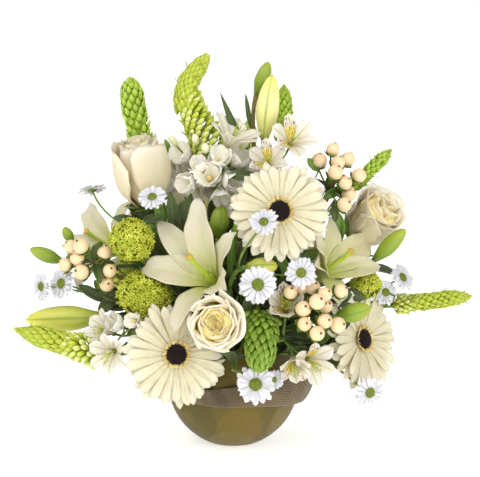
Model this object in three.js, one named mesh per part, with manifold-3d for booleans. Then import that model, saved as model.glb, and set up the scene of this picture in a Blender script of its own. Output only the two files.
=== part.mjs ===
// A floral table centerpiece: fresh flowers that stand in wet foam in a bubble bowl.
// Millimetres, +Z up, the origin at the centre of the bowl's flat foot, the front towards -Y.

import * as THREE from "three";
import { mergeVertices } from "three/addons/utils/BufferGeometryUtils.js";
import Module from "manifold-3d";

const wasm = await Module();
wasm.setup();

// The bowl: a sphere cut flat at its foot and open at its mouth
const BOWL_RADIUS = 62.5;
const FOOT_RADIUS = 24;
const RIM_HEIGHT = 100;
const WALL = 3;
const BOWL_SEGMENTS = 24;
const BOWL_CENTRE = Math.sqrt(BOWL_RADIUS ** 2 - FOOT_RADIUS ** 2);

// The foam: it follows the bowl inside and ends in a dome about a point below the rim
const FOAM_SEGMENTS = 12;
const FOAM_SHRINK = 0.9;
const FLOOR_GAP = 0.3;
const DOME_RADIUS = 42;
const DOME_RISES = [16, 52];
const STEM_DEPTH = 12;
const HOLE_GAP = 0.8;
const STEM_STEP = 28;

// The wrap of woven mesh round the bowl
const WRAP_THICKNESS = 1.2;
const WRAP_GAP = 0.7;
const WRAP_LEFT = { bottom: 50, top: 56 };
const WRAP_RIGHT = { bottom: 43.5, top: 77 };
const WRAP_FLARE = 16;
const WRAP_FLARE_TURN = 80;
const WRAP_FLARE_WIDTH = 34;

// Thickness of petals and leaves at their middle
const PETAL = 1.3;
const LEAF = 1.4;

// Stem radii
const STEM = {
  gerbera: 2.5,
  lily: 2.8,
  rose: 2.7,
  spike: 2.3,
  berry: 1.9,
  viburnum: 2,
  daisy: 1.3,
  alstroemeria: 1.6,
  leafy: 1.5,
};

const TURN = Math.PI * 2;
const MERGE_DISTANCE = 1e-4;
const FOAM_FOCUS = new THREE.Vector3(0, 0, 85);
const UP = new THREE.Vector3(0, 0, 1);
const BACK = new THREE.Vector3(0, 1, 0);
const radians = THREE.MathUtils.degToRad;
const degrees = THREE.MathUtils.radToDeg;

function finish(color, roughness, metalness = 0) {
  return new THREE.MeshStandardMaterial({ color, roughness, metalness });
}
const GOLD_GLASS = finish(0x9a8a58, 0.25, 0.6);
const FOAM = finish(0x2f5a2c, 0.95);
const MESH_WRAP = finish(0x9a8a76, 0.9);
const WHITE_PETAL = finish(0xf4f0e2, 0.6);
const LILY_PETAL = finish(0xf2f0e6, 0.55);
const ROSE_PETAL = finish(0xf4ead0, 0.6);
const DARK_EYE = finish(0x2a1420, 0.9);
const STEM_GREEN = finish(0x55752c, 0.6);
const LEAF_GREEN = finish(0x2f5524, 0.5);
const BUD_GREEN = finish(0xb4cc62, 0.5);
const SPIKE_GREEN = finish(0x9cc040, 0.55);
const BERRY = finish(0xf0cfa4, 0.35);
const LIME = finish(0xb6d234, 0.7);
const DAISY_WHITE = finish(0xfbfbfb, 0.6);
const STREAKED_WHITE = finish(0xf2ecdf, 0.6);

const vector = (x, y, z) => new THREE.Vector3(x, y, z);
const along = (from, direction, distance) => from.clone().addScaledVector(direction, distance);
const between = (low, high, share) => low + (high - low) * share;

// The direction at a turn from the front and a rise, in degrees; a turn of 90 is to the right
function way(turn, rise) {
  const level = Math.cos(radians(rise));
  return vector(Math.sin(radians(turn)) * level, -Math.cos(radians(turn)) * level, Math.sin(radians(rise)));
}

// A closed geometry as a solid that can be joined and cut
function solidOf(geometry) {
  const bare = new THREE.BufferGeometry();
  bare.setAttribute("position", geometry.getAttribute("position"));
  bare.setIndex(geometry.index);
  const merged = mergeVertices(bare, MERGE_DISTANCE);
  const corners = merged.index.array;
  const faces = [];
  for (let i = 0; i < corners.length; i += 3) {
    const [a, b, c] = [corners[i], corners[i + 1], corners[i + 2]];
    if (a !== b && b !== c && c !== a) faces.push(a, b, c);
  }
  return new wasm.Manifold(
    new wasm.Mesh({
      numProp: 3,
      vertProperties: new Float32Array(merged.getAttribute("position").array),
      triVerts: new Uint32Array(faces),
    }),
  );
}

const joined = (solids) => solids.flat(Infinity).reduce((whole, part) => whole.add(part));
const moved = (solid, frame) => solid.transform(frame.elements);

// A node: a named mesh of one solid
function node(name, solid, material) {
  const { vertProperties, triVerts } = solid.getMesh();
  const geometry = new THREE.BufferGeometry();
  geometry.setAttribute("position", new THREE.BufferAttribute(new Float32Array(vertProperties), 3));
  geometry.setIndex(new THREE.BufferAttribute(new Uint32Array(triVerts), 1));
  geometry.computeVertexNormals();
  const mesh = new THREE.Mesh(geometry, material);
  mesh.name = name;
  return mesh;
}

// A closed body drawn out from a ball: place gives the point at a turn, on a ring from pole to pole
function drawnOut(sides, rings, place) {
  const geometry = new THREE.SphereGeometry(1, sides, rings);
  const position = geometry.getAttribute("position");
  for (let i = 0; i < position.count; i++) {
    const ring = Math.floor(i / (sides + 1));
    const side = ring === 0 || ring === rings ? 0 : (i % (sides + 1)) % sides;
    const point = place((side / sides) * TURN, ring, side);
    position.setXYZ(i, point.x, point.y, point.z);
  }
  return solidOf(geometry);
}

// The value on a ring of an outline, whose entries are [share of the length, width or radius]
function station(outline, ring) {
  if (ring === 0) return [0, 0];
  return ring > outline.length ? [1, 0] : outline[ring - 1];
}

// A round body along a curve, with pointed ends
function swept(curve, outline, sides) {
  const chord = curve.getPoint(1).sub(curve.getPoint(0)).normalize();
  const reference = Math.abs(chord.z) > 0.8 ? BACK : UP;
  return drawnOut(sides, outline.length + 1, (turn, ring) => {
    const [share, radius] = station(outline, ring);
    const tangent = curve.getTangentAt(share);
    const side = vector().crossVectors(tangent, reference).normalize();
    const other = vector().crossVectors(tangent, side);
    const point = along(curve.getPointAt(share), side, Math.cos(turn) * radius);
    return point.addScaledVector(other, -Math.sin(turn) * radius);
  });
}

const spun = (from, to, outline, sides) => swept(new THREE.LineCurve3(from, to), outline, sides);

// A tube of constant radius along a curve
function tube(curve, radius, sides, steps) {
  const corners = Array.from({ length: sides }, (_, i) => {
    const turn = (i / sides) * TURN;
    return new THREE.Vector2(Math.cos(turn) * radius, Math.sin(turn) * radius);
  });
  const settings = { steps, bevelEnabled: false, extrudePath: curve };
  return solidOf(new THREE.ExtrudeGeometry(new THREE.Shape(corners), settings));
}

// A petal or leaf from the origin out along +X, its upper face towards +Z.
// It starts at the angle lift above the level, turns by curl on its way, and its edges rise by cup.
function blade(outline, { length, width, thickness = PETAL, lift = 0, curl = 0, cup = 0 }) {
  const start = radians(lift);
  return drawnOut(4, outline.length + 1, (turn, ring) => {
    const [share, wide] = station(outline, ring);
    const bend = radians(curl) * share || 1e-6;
    const radius = (length * share) / bend;
    const lean = start + bend;
    const across = (-Math.cos(turn) * wide * width) / 2;
    const rise = Math.sin(turn) * thickness * 0.5 * Math.sign(wide) + cup * wide * Math.abs(Math.cos(turn));
    return vector(
      radius * (Math.sin(lean) - Math.sin(start)) - Math.sin(lean) * rise,
      across,
      radius * (Math.cos(start) - Math.cos(lean)) + Math.cos(lean) * rise,
    );
  });
}

// Where a flower head stands: its local +Z is the way that it faces, +X its right and +Y its top
function headFrame({ at, turn, rise, roll = 0 }) {
  const facing = way(turn, rise);
  const right = vector().crossVectors(UP, facing).normalize();
  const upper = vector().crossVectors(facing, right);
  const frame = new THREE.Matrix4().makeBasis(right, upper, facing);
  frame.multiply(new THREE.Matrix4().makeRotationZ(radians(roll)));
  return frame.setPosition(...at);
}

// The frame of a leaf that starts at a point and runs out along a direction, its face as near up as can be
function leafFrame(at, direction, face = UP) {
  const out = direction.clone().normalize();
  const across = vector().crossVectors(face, out).normalize();
  return new THREE.Matrix4().makeBasis(out, across, vector().crossVectors(out, across)).setPosition(at);
}

// A ring slot of a head: turned round the facing axis, then moved out and up
function slot(angle, out, up) {
  const frame = new THREE.Matrix4().makeRotationZ(radians(angle));
  return frame.multiply(new THREE.Matrix4().makeTranslation(out, 0, up));
}

// A group that stands in a head's frame
function headGroup(frame, meshes) {
  const group = new THREE.Group();
  frame.decompose(group.position, group.quaternion, group.scale);
  group.add(...meshes);
  return group;
}

const holes = [];

// The way of a stem: it leaves the foam at an entry and comes up to a point along a direction
function route({ to, arrive, entry, lead = 40, reach = 40 }) {
  const out = way(...entry);
  return new THREE.CubicBezierCurve3(
    along(FOAM_FOCUS, out, DOME_RADIUS - STEM_DEPTH),
    along(FOAM_FOCUS, out, DOME_RADIUS + lead),
    along(to, arrive, -reach),
    to,
  );
}

const stemSteps = (curve) => THREE.MathUtils.clamp(Math.floor(curve.getLength() / STEM_STEP), 2, 5);

// A point on the axis of the faceted stem along a route
function onStem(curve, share) {
  const steps = stemSteps(curve);
  const step = Math.min(Math.floor(share * steps), steps - 1);
  return curve.getPointAt(step / steps).lerp(curve.getPointAt((step + 1) / steps), share * steps - step);
}

// The stem along a route. Its first stretch is straight, and a wider hole in the foam is kept for it.
function stem(radius, curve, sides = 5) {
  const foot = onStem(curve, 0);
  const bend = onStem(curve, 1 / stemSteps(curve));
  const straight = bend.clone().sub(foot).normalize();
  const bore = new THREE.LineCurve3(along(foot, straight, -HOLE_GAP), bend);
  holes.push(tube(bore, (radius + HOLE_GAP) * Math.SQRT2, 4, 1));
  return tube(curve, radius, sides, stemSteps(curve));
}

// A small swelling where twigs or leaves leave a stem
const KNOT_RADIUS = 3;
const knot = (point) => spun(along(point, UP, -4.5), along(point, UP, 3.5), [[0.55, KNOT_RADIUS]], 5);

// A leaf on a stem. Its outline's entries are [share of the length, share of the width].
const LEAF_CURL = -25;
const LANCE = [
  [0.3, 0.9],
  [0.7, 0.75],
];
const ROUND_LEAF = [
  [0.25, 0.8],
  [0.65, 0.95],
];
function leaf(at, direction, length, width, outline = ROUND_LEAF) {
  const shape = blade(outline, { length, width, thickness: LEAF, curl: LEAF_CURL, cup: 1 });
  return moved(shape, leafFrame(at, vector(...direction)));
}

// The leans, from level, at which the bowl's wall has its corners inside, from the floor to the rim
const INSIDE_RADIUS = BOWL_RADIUS - WALL;
const FLOOR_LEAN = Math.asin((WALL - BOWL_CENTRE) / INSIDE_RADIUS);
const RIM_LEAN = Math.asin((RIM_HEIGHT - BOWL_CENTRE) / INSIDE_RADIUS);
const WALL_STEPS = 5;

// Points on an arc about the bowl's centre
function arc(radius, fromLean, toLean, steps) {
  return Array.from({ length: steps + 1 }, (_, i) => {
    const lean = between(fromLean, toLean, i / steps);
    return new THREE.Vector2(Math.cos(lean) * radius, BOWL_CENTRE + Math.sin(lean) * radius);
  });
}

function lathed(profile, segments) {
  return solidOf(new THREE.LatheGeometry(profile, segments).rotateX(Math.PI / 2));
}

function bowl() {
  const lean = (height) => Math.asin((height - BOWL_CENTRE) / BOWL_RADIUS);
  const outside = arc(BOWL_RADIUS, lean(0), lean(RIM_HEIGHT), WALL_STEPS + 1);
  const inside = arc(INSIDE_RADIUS, RIM_LEAN, FLOOR_LEAN, WALL_STEPS);
  return lathed([new THREE.Vector2(0, 0), ...outside, ...inside, new THREE.Vector2(0, WALL)], BOWL_SEGMENTS);
}

function foam() {
  const low = WALL + FLOOR_GAP;
  const side = arc(INSIDE_RADIUS - FOAM_SHRINK, FLOOR_LEAN, RIM_LEAN, WALL_STEPS).slice(1, -1);
  const foot = new THREE.Vector2(Math.cos(FLOOR_LEAN) * (INSIDE_RADIUS - FOAM_SHRINK), low);
  const onDome = (lean) => {
    const [out, up] = [Math.cos(lean) * DOME_RADIUS, Math.sin(lean) * DOME_RADIUS];
    return new THREE.Vector2(out, FOAM_FOCUS.z + up);
  };
  const dome = DOME_RISES.map((rise) => onDome(radians(rise)));
  const top = new THREE.Vector2(0, FOAM_FOCUS.z + DOME_RADIUS);
  const block = lathed([new THREE.Vector2(0, low), foot, ...side, ...dome, top], FOAM_SEGMENTS);
  return holes.reduce((whole, hole) => whole.subtract(hole), block);
}

// The wrap: a closed band that is narrow at the left, and broad and flared at the right
function wrap() {
  const levels = [0, 0.5, 1];
  const section = [...levels.map((level) => [level, 1]), ...levels.toReversed().map((level) => [level, 0])];
  section.push(section[0]);
  const profile = section.map(([level, face]) => new THREE.Vector2(1 + face, level));
  const geometry = new THREE.LatheGeometry(profile, BOWL_SEGMENTS);
  const position = geometry.getAttribute("position");
  for (let i = 0; i < position.count; i++) {
    const [level, face] = section[i % section.length];
    const segment = Math.floor(i / section.length) % BOWL_SEGMENTS;
    const lathe = (segment / BOWL_SEGMENTS) * TURN;
    const turn = degrees(lathe);
    const rightwards = 0.5 + 0.5 * Math.sin(lathe);
    const bottom = between(WRAP_LEFT.bottom, WRAP_RIGHT.bottom, rightwards) + Math.sin(lathe * 5);
    const height = between(bottom, between(WRAP_LEFT.top, WRAP_RIGHT.top, rightwards), level);
    const offside = ((turn - WRAP_FLARE_TURN + 540) % 360) - 180;
    const flare = WRAP_FLARE * Math.exp(-((offside / WRAP_FLARE_WIDTH) ** 2)) * (0.45 + 0.55 * level);
    const wave = (1 + Math.sin(lathe * 7)) * (0.3 + 0.9 * level);
    const bowlRadius = Math.sqrt(BOWL_RADIUS ** 2 - (height - BOWL_CENTRE) ** 2);
    const radius = bowlRadius + WRAP_GAP + flare + wave + face * WRAP_THICKNESS;
    position.setXYZ(i, Math.sin(lathe) * radius, -Math.cos(lathe) * radius, height);
  }
  return solidOf(geometry);
}

// Gerbera: two layers of petals drawn out from one disc, a dark eye on it, and a green cup and stem
// behind. Each petal has a notch beside it and two shoulders at its blunt tip, and the layers lie
// half a petal apart.
const GERBERA_HUB = 14;
const GERBERA_COUNT = 13;
const GERBERA_REFLEX = 4;
// The corners of each layer within one petal's share of the rim: their places, and which is the notch
const LOWER_CORNERS = { places: [0.38, 0.5, 0.62], notch: 1 };
const UPPER_CORNERS = { places: [0, 0.12, 0.88], notch: 0 };
function gerberaPetals({ size, reflex = GERBERA_REFLEX, cup = 0 }) {
  const edge = ({ places, notch }, side, reach, height) => {
    const place = Math.floor(side / 3) + places[side % 3];
    const turn = (place / GERBERA_COUNT) * TURN;
    if (side % 3 === notch) return [turn, GERBERA_HUB + 2, height * 0.3];
    return [turn, reach - ((Math.round(place) * 5) % 3) * 1.2, height + cup - reflex];
  };
  return drawnOut(GERBERA_COUNT * 3, 5, (turn, ring, side) => {
    const [around, out, height] = [
      () => [0, 0, -5],
      () => edge(LOWER_CORNERS, side, size, -2.1),
      () => [turn, GERBERA_HUB, -1.2],
      () => edge(UPPER_CORNERS, side, size * 0.84, 2.1),
      () => [turn, GERBERA_HUB, 1],
      () => [0, 0, 1],
    ][ring]();
    return vector(Math.cos(around) * out, -Math.sin(around) * out, height);
  });
}

const GERBERA_EYE = { low: 1.3, high: 5.2, foot: 12.5, shoulder: 10.5 };
function gerberaEye() {
  const { low, high, foot, shoulder } = GERBERA_EYE;
  return spun(vector(0, 0, low), vector(0, 0, high), [[0.04, foot], [0.7, shoulder]], 10);
}

function gerbera(name, spec) {
  const frame = headFrame(spec);
  const group = headGroup(frame, [
    node(`${name}_petals`, gerberaPetals(spec), WHITE_PETAL),
    node(`${name}_eye`, gerberaEye(), DARK_EYE),
  ]);
  const facing = way(spec.turn, spec.rise);
  const cupFrom = along(vector(...spec.at), facing, -16);
  const droop = Math.max(0, (spec.reflex ?? GERBERA_REFLEX) - GERBERA_REFLEX);
  const cupTo = along(vector(...spec.at), facing, -5.35 - droop * 0.225);
  const cup = spun(cupFrom, cupTo, [[0.25, 6], [0.97, 11.5]], 8);
  const stalk = stem(STEM.gerbera, route({ to: along(cupFrom, facing, 4), arrive: facing, ...spec.stalk }));
  return [group, node(`${name}_stem`, cup.add(stalk), STEM_GREEN)];
}

// Lily: six tepals on a small base, pierced by the green pistil that goes on as the stem
const LILY_TEPAL = [
  [0.16, 0.34],
  [0.45, 1],
  [0.78, 0.75],
];
const LILY_ANGLES = [90, 150, 210, 270, 330, 30];
const LILY_LIFT = 62;
const LILY_CURL = -88;
const PISTIL_RADIUS = 1.5;
const PISTIL_GAP = 0.6;
function lilyTepals({ size, tepals = [] }) {
  const base = spun(vector(0, 0, -6), vector(0, 0, 8), [[0.25, 6], [0.75, 7.5]], 6);
  const blades = LILY_ANGLES.map((angle, i) => {
    const inner = i % 2 === 0;
    const own = tepals[i] ?? {};
    const settings = {
      length: size * (own.length ?? 1),
      width: size * (inner ? 0.33 : 0.26),
      lift: own.lift ?? LILY_LIFT,
      curl: own.curl ?? LILY_CURL,
      cup: 3,
      thickness: PETAL + 0.2,
    };
    return moved(blade(LILY_TEPAL, settings), slot(own.angle ?? angle, 2, inner ? 1 : -1.5));
  });
  const wide = PISTIL_RADIUS + PISTIL_GAP;
  const bore = spun(vector(0, 0, -20), vector(0, 0, 60), [[0.01, wide], [0.99, wide]], 6);
  return joined([base, blades]).subtract(bore);
}

// The pistil: a straight foot through the tepals' base, and a style with a swollen tip
const PISTIL_OUTLINE = [
  [0.3, PISTIL_RADIUS - 0.3],
  [0.9, PISTIL_RADIUS - 0.2],
  [0.97, 2.6],
];
function lilyPistil(size) {
  const foot = vector(0, 0, -9);
  const curve = new THREE.QuadraticBezierCurve3(foot, vector(0, 0, size * 0.4), vector(0, 3, size * 0.6));
  const straight = tube(new THREE.LineCurve3(foot, vector(0, 0, 18)), PISTIL_RADIUS, 5, 1);
  return [straight, swept(curve, PISTIL_OUTLINE, 5)];
}

const LILY_BUD = [
  [0.1, 0.5],
  [0.4, 1],
  [0.8, 0.7],
];
// A bud on a thin stalk from a fork, drawn as one body
function stalkedBud(fork, { from, to, radius }) {
  const [base, tip] = [vector(...from), vector(...to)];
  const stalk = fork.distanceTo(base);
  const length = base.distanceTo(tip);
  const share = (distance) => distance / (stalk + length);
  const outline = [[share(2), 1.7], [share(stalk - 3), 1.5]];
  outline.push(...LILY_BUD.map(([part, wide]) => [share(stalk + part * length), wide * radius]));
  const path = new THREE.CurvePath();
  path.add(new THREE.LineCurve3(fork, base));
  path.add(new THREE.LineCurve3(base, tip));
  return swept(path, outline, 5);
}

function lily(name, spec) {
  const frame = headFrame(spec);
  const group = headGroup(frame, [node(`${name}_tepals`, lilyTepals(spec), LILY_PETAL)]);
  const facing = way(spec.turn, spec.rise);
  const foot = along(vector(...spec.at), facing, -8);
  const pistil = lilyPistil(spec.size).map((piece) => moved(piece, frame));
  const curve = route({ to: foot, arrive: facing, ...spec.stalk });
  const stalk = stem(STEM.lily, curve);
  const budFork = ({ fork, share }) => (fork ? vector(...fork) : onStem(curve, share));
  const buds = (spec.buds ?? []).map((bud) => stalkedBud(budFork(bud), bud));
  return [group, node(`${name}_stem`, joined([pistil, stalk, buds]), STEM_GREEN)];
}

// Twigs leave a stem a little below its end, so that the two are joined
const FORK_SHARE = 0.96;

function budStem(name, { fork, entry, arrive, buds }) {
  const curve = route({ to: vector(...fork), arrive: vector(...arrive).normalize(), entry });
  const heads = buds.map((bud) => stalkedBud(onStem(curve, FORK_SHARE), bud));
  return [node(name, joined([stem(STEM.lily, curve), heads]), BUD_GREEN)];
}

// Rose: a cup whose petals rise in three rims, one within another. Going round a rim, each petal
// moves outwards to its edge, and the next one starts within it.
// Rings are [radius, height, how far the petals' edges stand out, the corner where a petal starts].
const ROSE_PETALS = 5;
const ROSE_RINGS = [
  [0.18, 0.04, 0, 0],
  [0.36, 0.38, 1, 0],
  [0.43, 0.88, 1, 0],
  [0.39, 0.92, 1, 0],
  [0.31, 0.68, 0, 0],
  [0.32, 0.98, 0.7, 1],
  [0.27, 1, 0.7, 1],
  [0.17, 0.74, 0, 0],
  [0.16, 0.95, 0.4, 2],
];
const ROSE_EDGE_TURNS = [0, 0.1, 0.24];
const ROSE_EDGE_OUT = 0.035;
const ROSE_HEART = 0.82;
function rosePetals({ size }) {
  return drawnOut(ROSE_PETALS * 3, ROSE_RINGS.length + 1, (turn, ring, side) => {
    if (ring === 0) return vector(0, 0, 0);
    if (ring > ROSE_RINGS.length) return vector(0, 0, size * ROSE_HEART);
    const [wide, high, edge, start] = ROSE_RINGS[ring - 1];
    const part = (side + start) % 3;
    const around = turn + edge * ROSE_EDGE_TURNS[part];
    const out = size * (wide + edge * ROSE_EDGE_OUT * part);
    const height = size * (high - (part === 0 ? edge * 0.07 : 0));
    return vector(Math.cos(around) * out, -Math.sin(around) * out, height);
  });
}

// A green star of five sepals under the bloom. Rings are [radius, height] at a tip and between two tips.
const SEPAL_RINGS = [
  { tip: [0, -10], between: [0, -10] },
  { tip: [17, -4], between: [6, -3] },
  { tip: [16.5, -3], between: [5, -0.5] },
  { tip: [0, -0.4], between: [0, -0.4] },
];
function roseSepals() {
  return drawnOut(10, 3, (angle, ring, side) => {
    const [out, height] = side % 2 ? SEPAL_RINGS[ring].between : SEPAL_RINGS[ring].tip;
    return vector(Math.cos(angle) * out, -Math.sin(angle) * out, height);
  });
}

function rose(name, spec) {
  const frame = headFrame(spec);
  const facing = way(spec.turn, spec.rise);
  const base = vector(...spec.at);
  const group = headGroup(frame, [node(`${name}_petals`, rosePetals(spec), ROSE_PETAL)]);
  const stalk = stem(STEM.rose, route({ to: along(base, facing, -7), arrive: facing, ...spec.stalk }));
  return [group, node(`${name}_stem`, joined([moved(roseSepals(), frame), stalk]), STEM_GREEN)];
}

// Spike: a tapering body whose surface is raised into rows of buds, each row between those of the next
function spikeBody(curve, { width, tipWidth, rows, sides = 6, openRows = 0 }) {
  const chord = curve.getPoint(1).sub(curve.getPoint(0)).normalize();
  const reference = Math.abs(chord.z) > 0.8 ? BACK : UP;
  return drawnOut(sides, rows + 1, (turn, row, side) => {
    const raised = (side + row) % 2 === 0;
    const share = THREE.MathUtils.clamp(row / (rows + 1) + (raised ? 0.35 : -0.1) / rows, 0, 1);
    const tangent = curve.getTangentAt(share);
    const right = vector().crossVectors(tangent, reference).normalize();
    const other = vector().crossVectors(tangent, right);
    const ends = row === 0 || row > rows ? 0 : 1;
    const open = row <= openRows ? 1.3 : 1;
    const radius = 0.5 * between(width, tipWidth, share) * (raised ? open : 0.5) * ends;
    const point = along(curve.getPointAt(row > rows ? 1 : share), right, Math.cos(turn) * radius);
    return point.addScaledVector(other, -Math.sin(turn) * radius);
  });
}

// A small open cup floret with six points
const FLORET_RADIUS = 11;
function floret(at, facing, radius) {
  const star = drawnOut(12, 2, (turn, ring, side) => {
    if (ring === 0) return vector(0, 0, 0);
    if (ring === 2) return vector(radius * 0.7, 0, 0);
    const reach = side % 2 ? radius * 0.62 : radius;
    return vector(radius * 1.1, -Math.cos(turn) * reach, Math.sin(turn) * reach);
  });
  return moved(star, leafFrame(at, facing, Math.abs(facing.z) > 0.9 ? BACK : UP));
}

function spike(name, spec) {
  const curve = new THREE.CatmullRomCurve3(spec.path.map((point) => vector(...point)));
  const ends = { to: curve.getPointAt(0.06), arrive: curve.getTangentAt(0), ...spec.stalk };
  const stalk = stem(STEM.spike, route(ends));
  const florets = (spec.florets ?? []).map(([share, turn, rise]) => {
    const facing = way(turn, rise);
    return floret(along(curve.getPointAt(share), facing, 3), facing, FLORET_RADIUS);
  });
  return [node(name, joined([spikeBody(curve, spec), stalk, florets]), SPIKE_GREEN)];
}

// Hypericum: berries on twigs from one fork
const BERRY_RADIUS = 6.3;
function berry(fork, at, radius) {
  const direction = at.clone().sub(fork);
  const length = direction.length() + radius * 1.1;
  const foot = length - radius * 2.2;
  const outline = [
    [foot - 3, 0.9],
    [foot + radius * 0.6, radius],
    [foot + radius * 1.7, radius * 0.8],
  ].map(([distance, wide]) => [distance / length, wide]);
  return spun(fork, along(fork, direction.normalize(), length), outline, 5);
}

function hypericum(name, spec) {
  const fork = vector(...spec.fork);
  const curve = route({ to: fork, arrive: fork.clone().sub(FOAM_FOCUS).normalize(), ...spec.stalk });
  const stalk = stem(STEM.berry, curve, 4);
  const radius = (i) => BERRY_RADIUS + ((i * 5) % 3) * 0.4;
  const berries = spec.berries.map((at, i) => berry(fork, vector(...at), radius(i)));
  const leaves = spec.leaves.map(([direction, length]) => leaf(fork, direction, length, length * 0.42));
  return [node(name, joined([stalk, knot(fork), berries, leaves]), BERRY)];
}

// Viburnum: a ball of tiny florets, raised and sunk in turn over its surface
const FLORETS_RAISED = 1.06;
const FLORETS_SUNK = 0.88;
const VIBURNUM_TWIG = 1.7;
function viburnumHead({ at, radii, rings }) {
  return drawnOut(12, rings, (turn, ring, side) => {
    const lean = (ring / rings) * Math.PI;
    const raise = ring > 0 && ring < rings && (side + ring) % 2 ? FLORETS_RAISED : FLORETS_SUNK;
    const level = Math.sin(lean);
    const point = vector(-Math.cos(turn) * level, Math.sin(turn) * level, -Math.cos(lean));
    return point.multiplyScalar(raise).multiply(vector(...radii)).add(vector(...at));
  });
}

function viburnum(name, { heads, fork, stalk }) {
  const point = vector(...fork);
  const curve = route({ to: point, arrive: point.clone().sub(FOAM_FOCUS).normalize(), ...stalk });
  const trunk = stem(STEM.viburnum, curve, 4);
  const balls = heads.map((head) => {
    const centre = vector(...head.at);
    const edge = along(centre, point.clone().sub(centre).normalize(), Math.min(...head.radii) * 0.6);
    const twig = tube(new THREE.LineCurve3(onStem(curve, FORK_SHARE), edge), VIBURNUM_TWIG, 4, 1);
    return [viburnumHead(head), twig];
  });
  return [node(name, joined([trunk, balls]), LIME)];
}

// Spray daisies: a star of rays with a round eye on each twig
const DAISY_TWIG = 1;
function daisyHead({ at, turn, rise, size }) {
  const star = drawnOut(16, 3, (angle, ring, side) => {
    if (ring === 0) return vector(0, 0, -2.4);
    if (ring === 3) return vector(0, 0, 3);
    const reach = ring === 2 ? size * 0.3 : size * (side % 2 ? 0.7 : 1);
    const height = ring === 2 ? 1.4 : 0.3;
    return vector(Math.cos(angle) * reach, -Math.sin(angle) * reach, height);
  });
  return moved(star, headFrame({ at, turn, rise }));
}

function daisies(name, { heads, fork, stalk }) {
  const point = vector(...fork);
  const only = heads.length === 1 && heads[0].arrive;
  const facing = (head) => way(head.turn, head.rise);
  const back = (head) => vector(0, -head.size * 0.3, -0.6).applyMatrix4(headFrame(head));
  const target = only ? back(heads[0]) : point;
  const arrive = only ? vector(...only).normalize() : point.clone().sub(FOAM_FOCUS).normalize();
  const curve = route({ to: target, arrive, ...stalk });
  const trunk = stem(STEM.daisy, curve, 4);
  const blooms = heads.map((head) => {
    if (only) return daisyHead(head);
    const middle = head.via ? vector(...head.via) : along(back(head), facing(head), -16);
    const bow = new THREE.QuadraticBezierCurve3(onStem(curve, FORK_SHARE), middle, back(head));
    return [daisyHead(head), tube(bow, DAISY_TWIG, 4, head.via ? 3 : 2)];
  });
  return [node(name, joined([trunk, blooms]), DAISY_WHITE)];
}

// Alstroemeria: three broad outer petals and three narrow inner ones, in a short funnel
// Corners within a third of the rim: a notch and a broad petal's two shoulders, then a notch and a
// narrow petal's tip
const ALSTROEMERIA_TURNS = [0, 22, 52, 74, 97];
const ALSTROEMERIA_REACHES = [0.25, 0.8, 0.8, 0.25, 0.74];
const ALSTROEMERIA_TWIG = 1.2;
function alstroemeriaHead({ at, turn, rise, size, open = 1 }) {
  const corners = ALSTROEMERIA_TURNS.length;
  const petals = drawnOut(corners * 3, 3, (_, ring, side) => {
    const part = side % corners;
    const angle = radians(Math.floor(side / corners) * 120 + ALSTROEMERIA_TURNS[part]);
    const notch = ALSTROEMERIA_REACHES[part] < 0.5;
    const reach = size * ALSTROEMERIA_REACHES[part] * (notch ? 1 : open);
    const height = size * (notch ? 0.22 : 0.5);
    const [out, up] = [
      [0, -8],
      [reach, height],
      [size * 0.1, size * 0.16],
      [0, size * 0.1],
    ][ring];
    return vector(Math.cos(angle) * out, -Math.sin(angle) * out, up);
  });
  return moved(petals, headFrame({ at, turn, rise }));
}

function alstroemeria(name, { heads, fork, stalk, leaves = [] }) {
  const point = vector(...fork);
  const arrive = point.clone().sub(FOAM_FOCUS).normalize();
  const curve = route({ to: point, arrive, ...stalk });
  const trunk = stem(STEM.alstroemeria, curve, 4);
  const blooms = heads.map((head) => {
    const facing = way(head.turn, head.rise);
    const back = vector(0, -2.6, -0.5).applyMatrix4(headFrame(head));
    const bow = new THREE.QuadraticBezierCurve3(onStem(curve, FORK_SHARE), along(back, facing, -14), back);
    return [alstroemeriaHead(head), tube(bow, ALSTROEMERIA_TWIG, 4, 2)];
  });
  const blades = leaves.map(([share, direction, length]) =>
    leaf(onStem(curve, share), direction, length, length * 0.22, LANCE),
  );
  return [node(name, joined([trunk, blooms, blades]), STREAKED_WHITE)];
}

function leafyStem(name, { fork, stalk, leaves }) {
  const point = vector(...fork);
  const arrive = point.clone().sub(FOAM_FOCUS).normalize();
  const trunk = stem(STEM.leafy, route({ to: point, arrive, ...stalk }), 4);
  const blades = leaves.map(([direction, length]) => leaf(point, direction, length, length * 0.36));
  return [node(name, joined([trunk, knot(point), blades]), LEAF_GREEN)];
}

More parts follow.
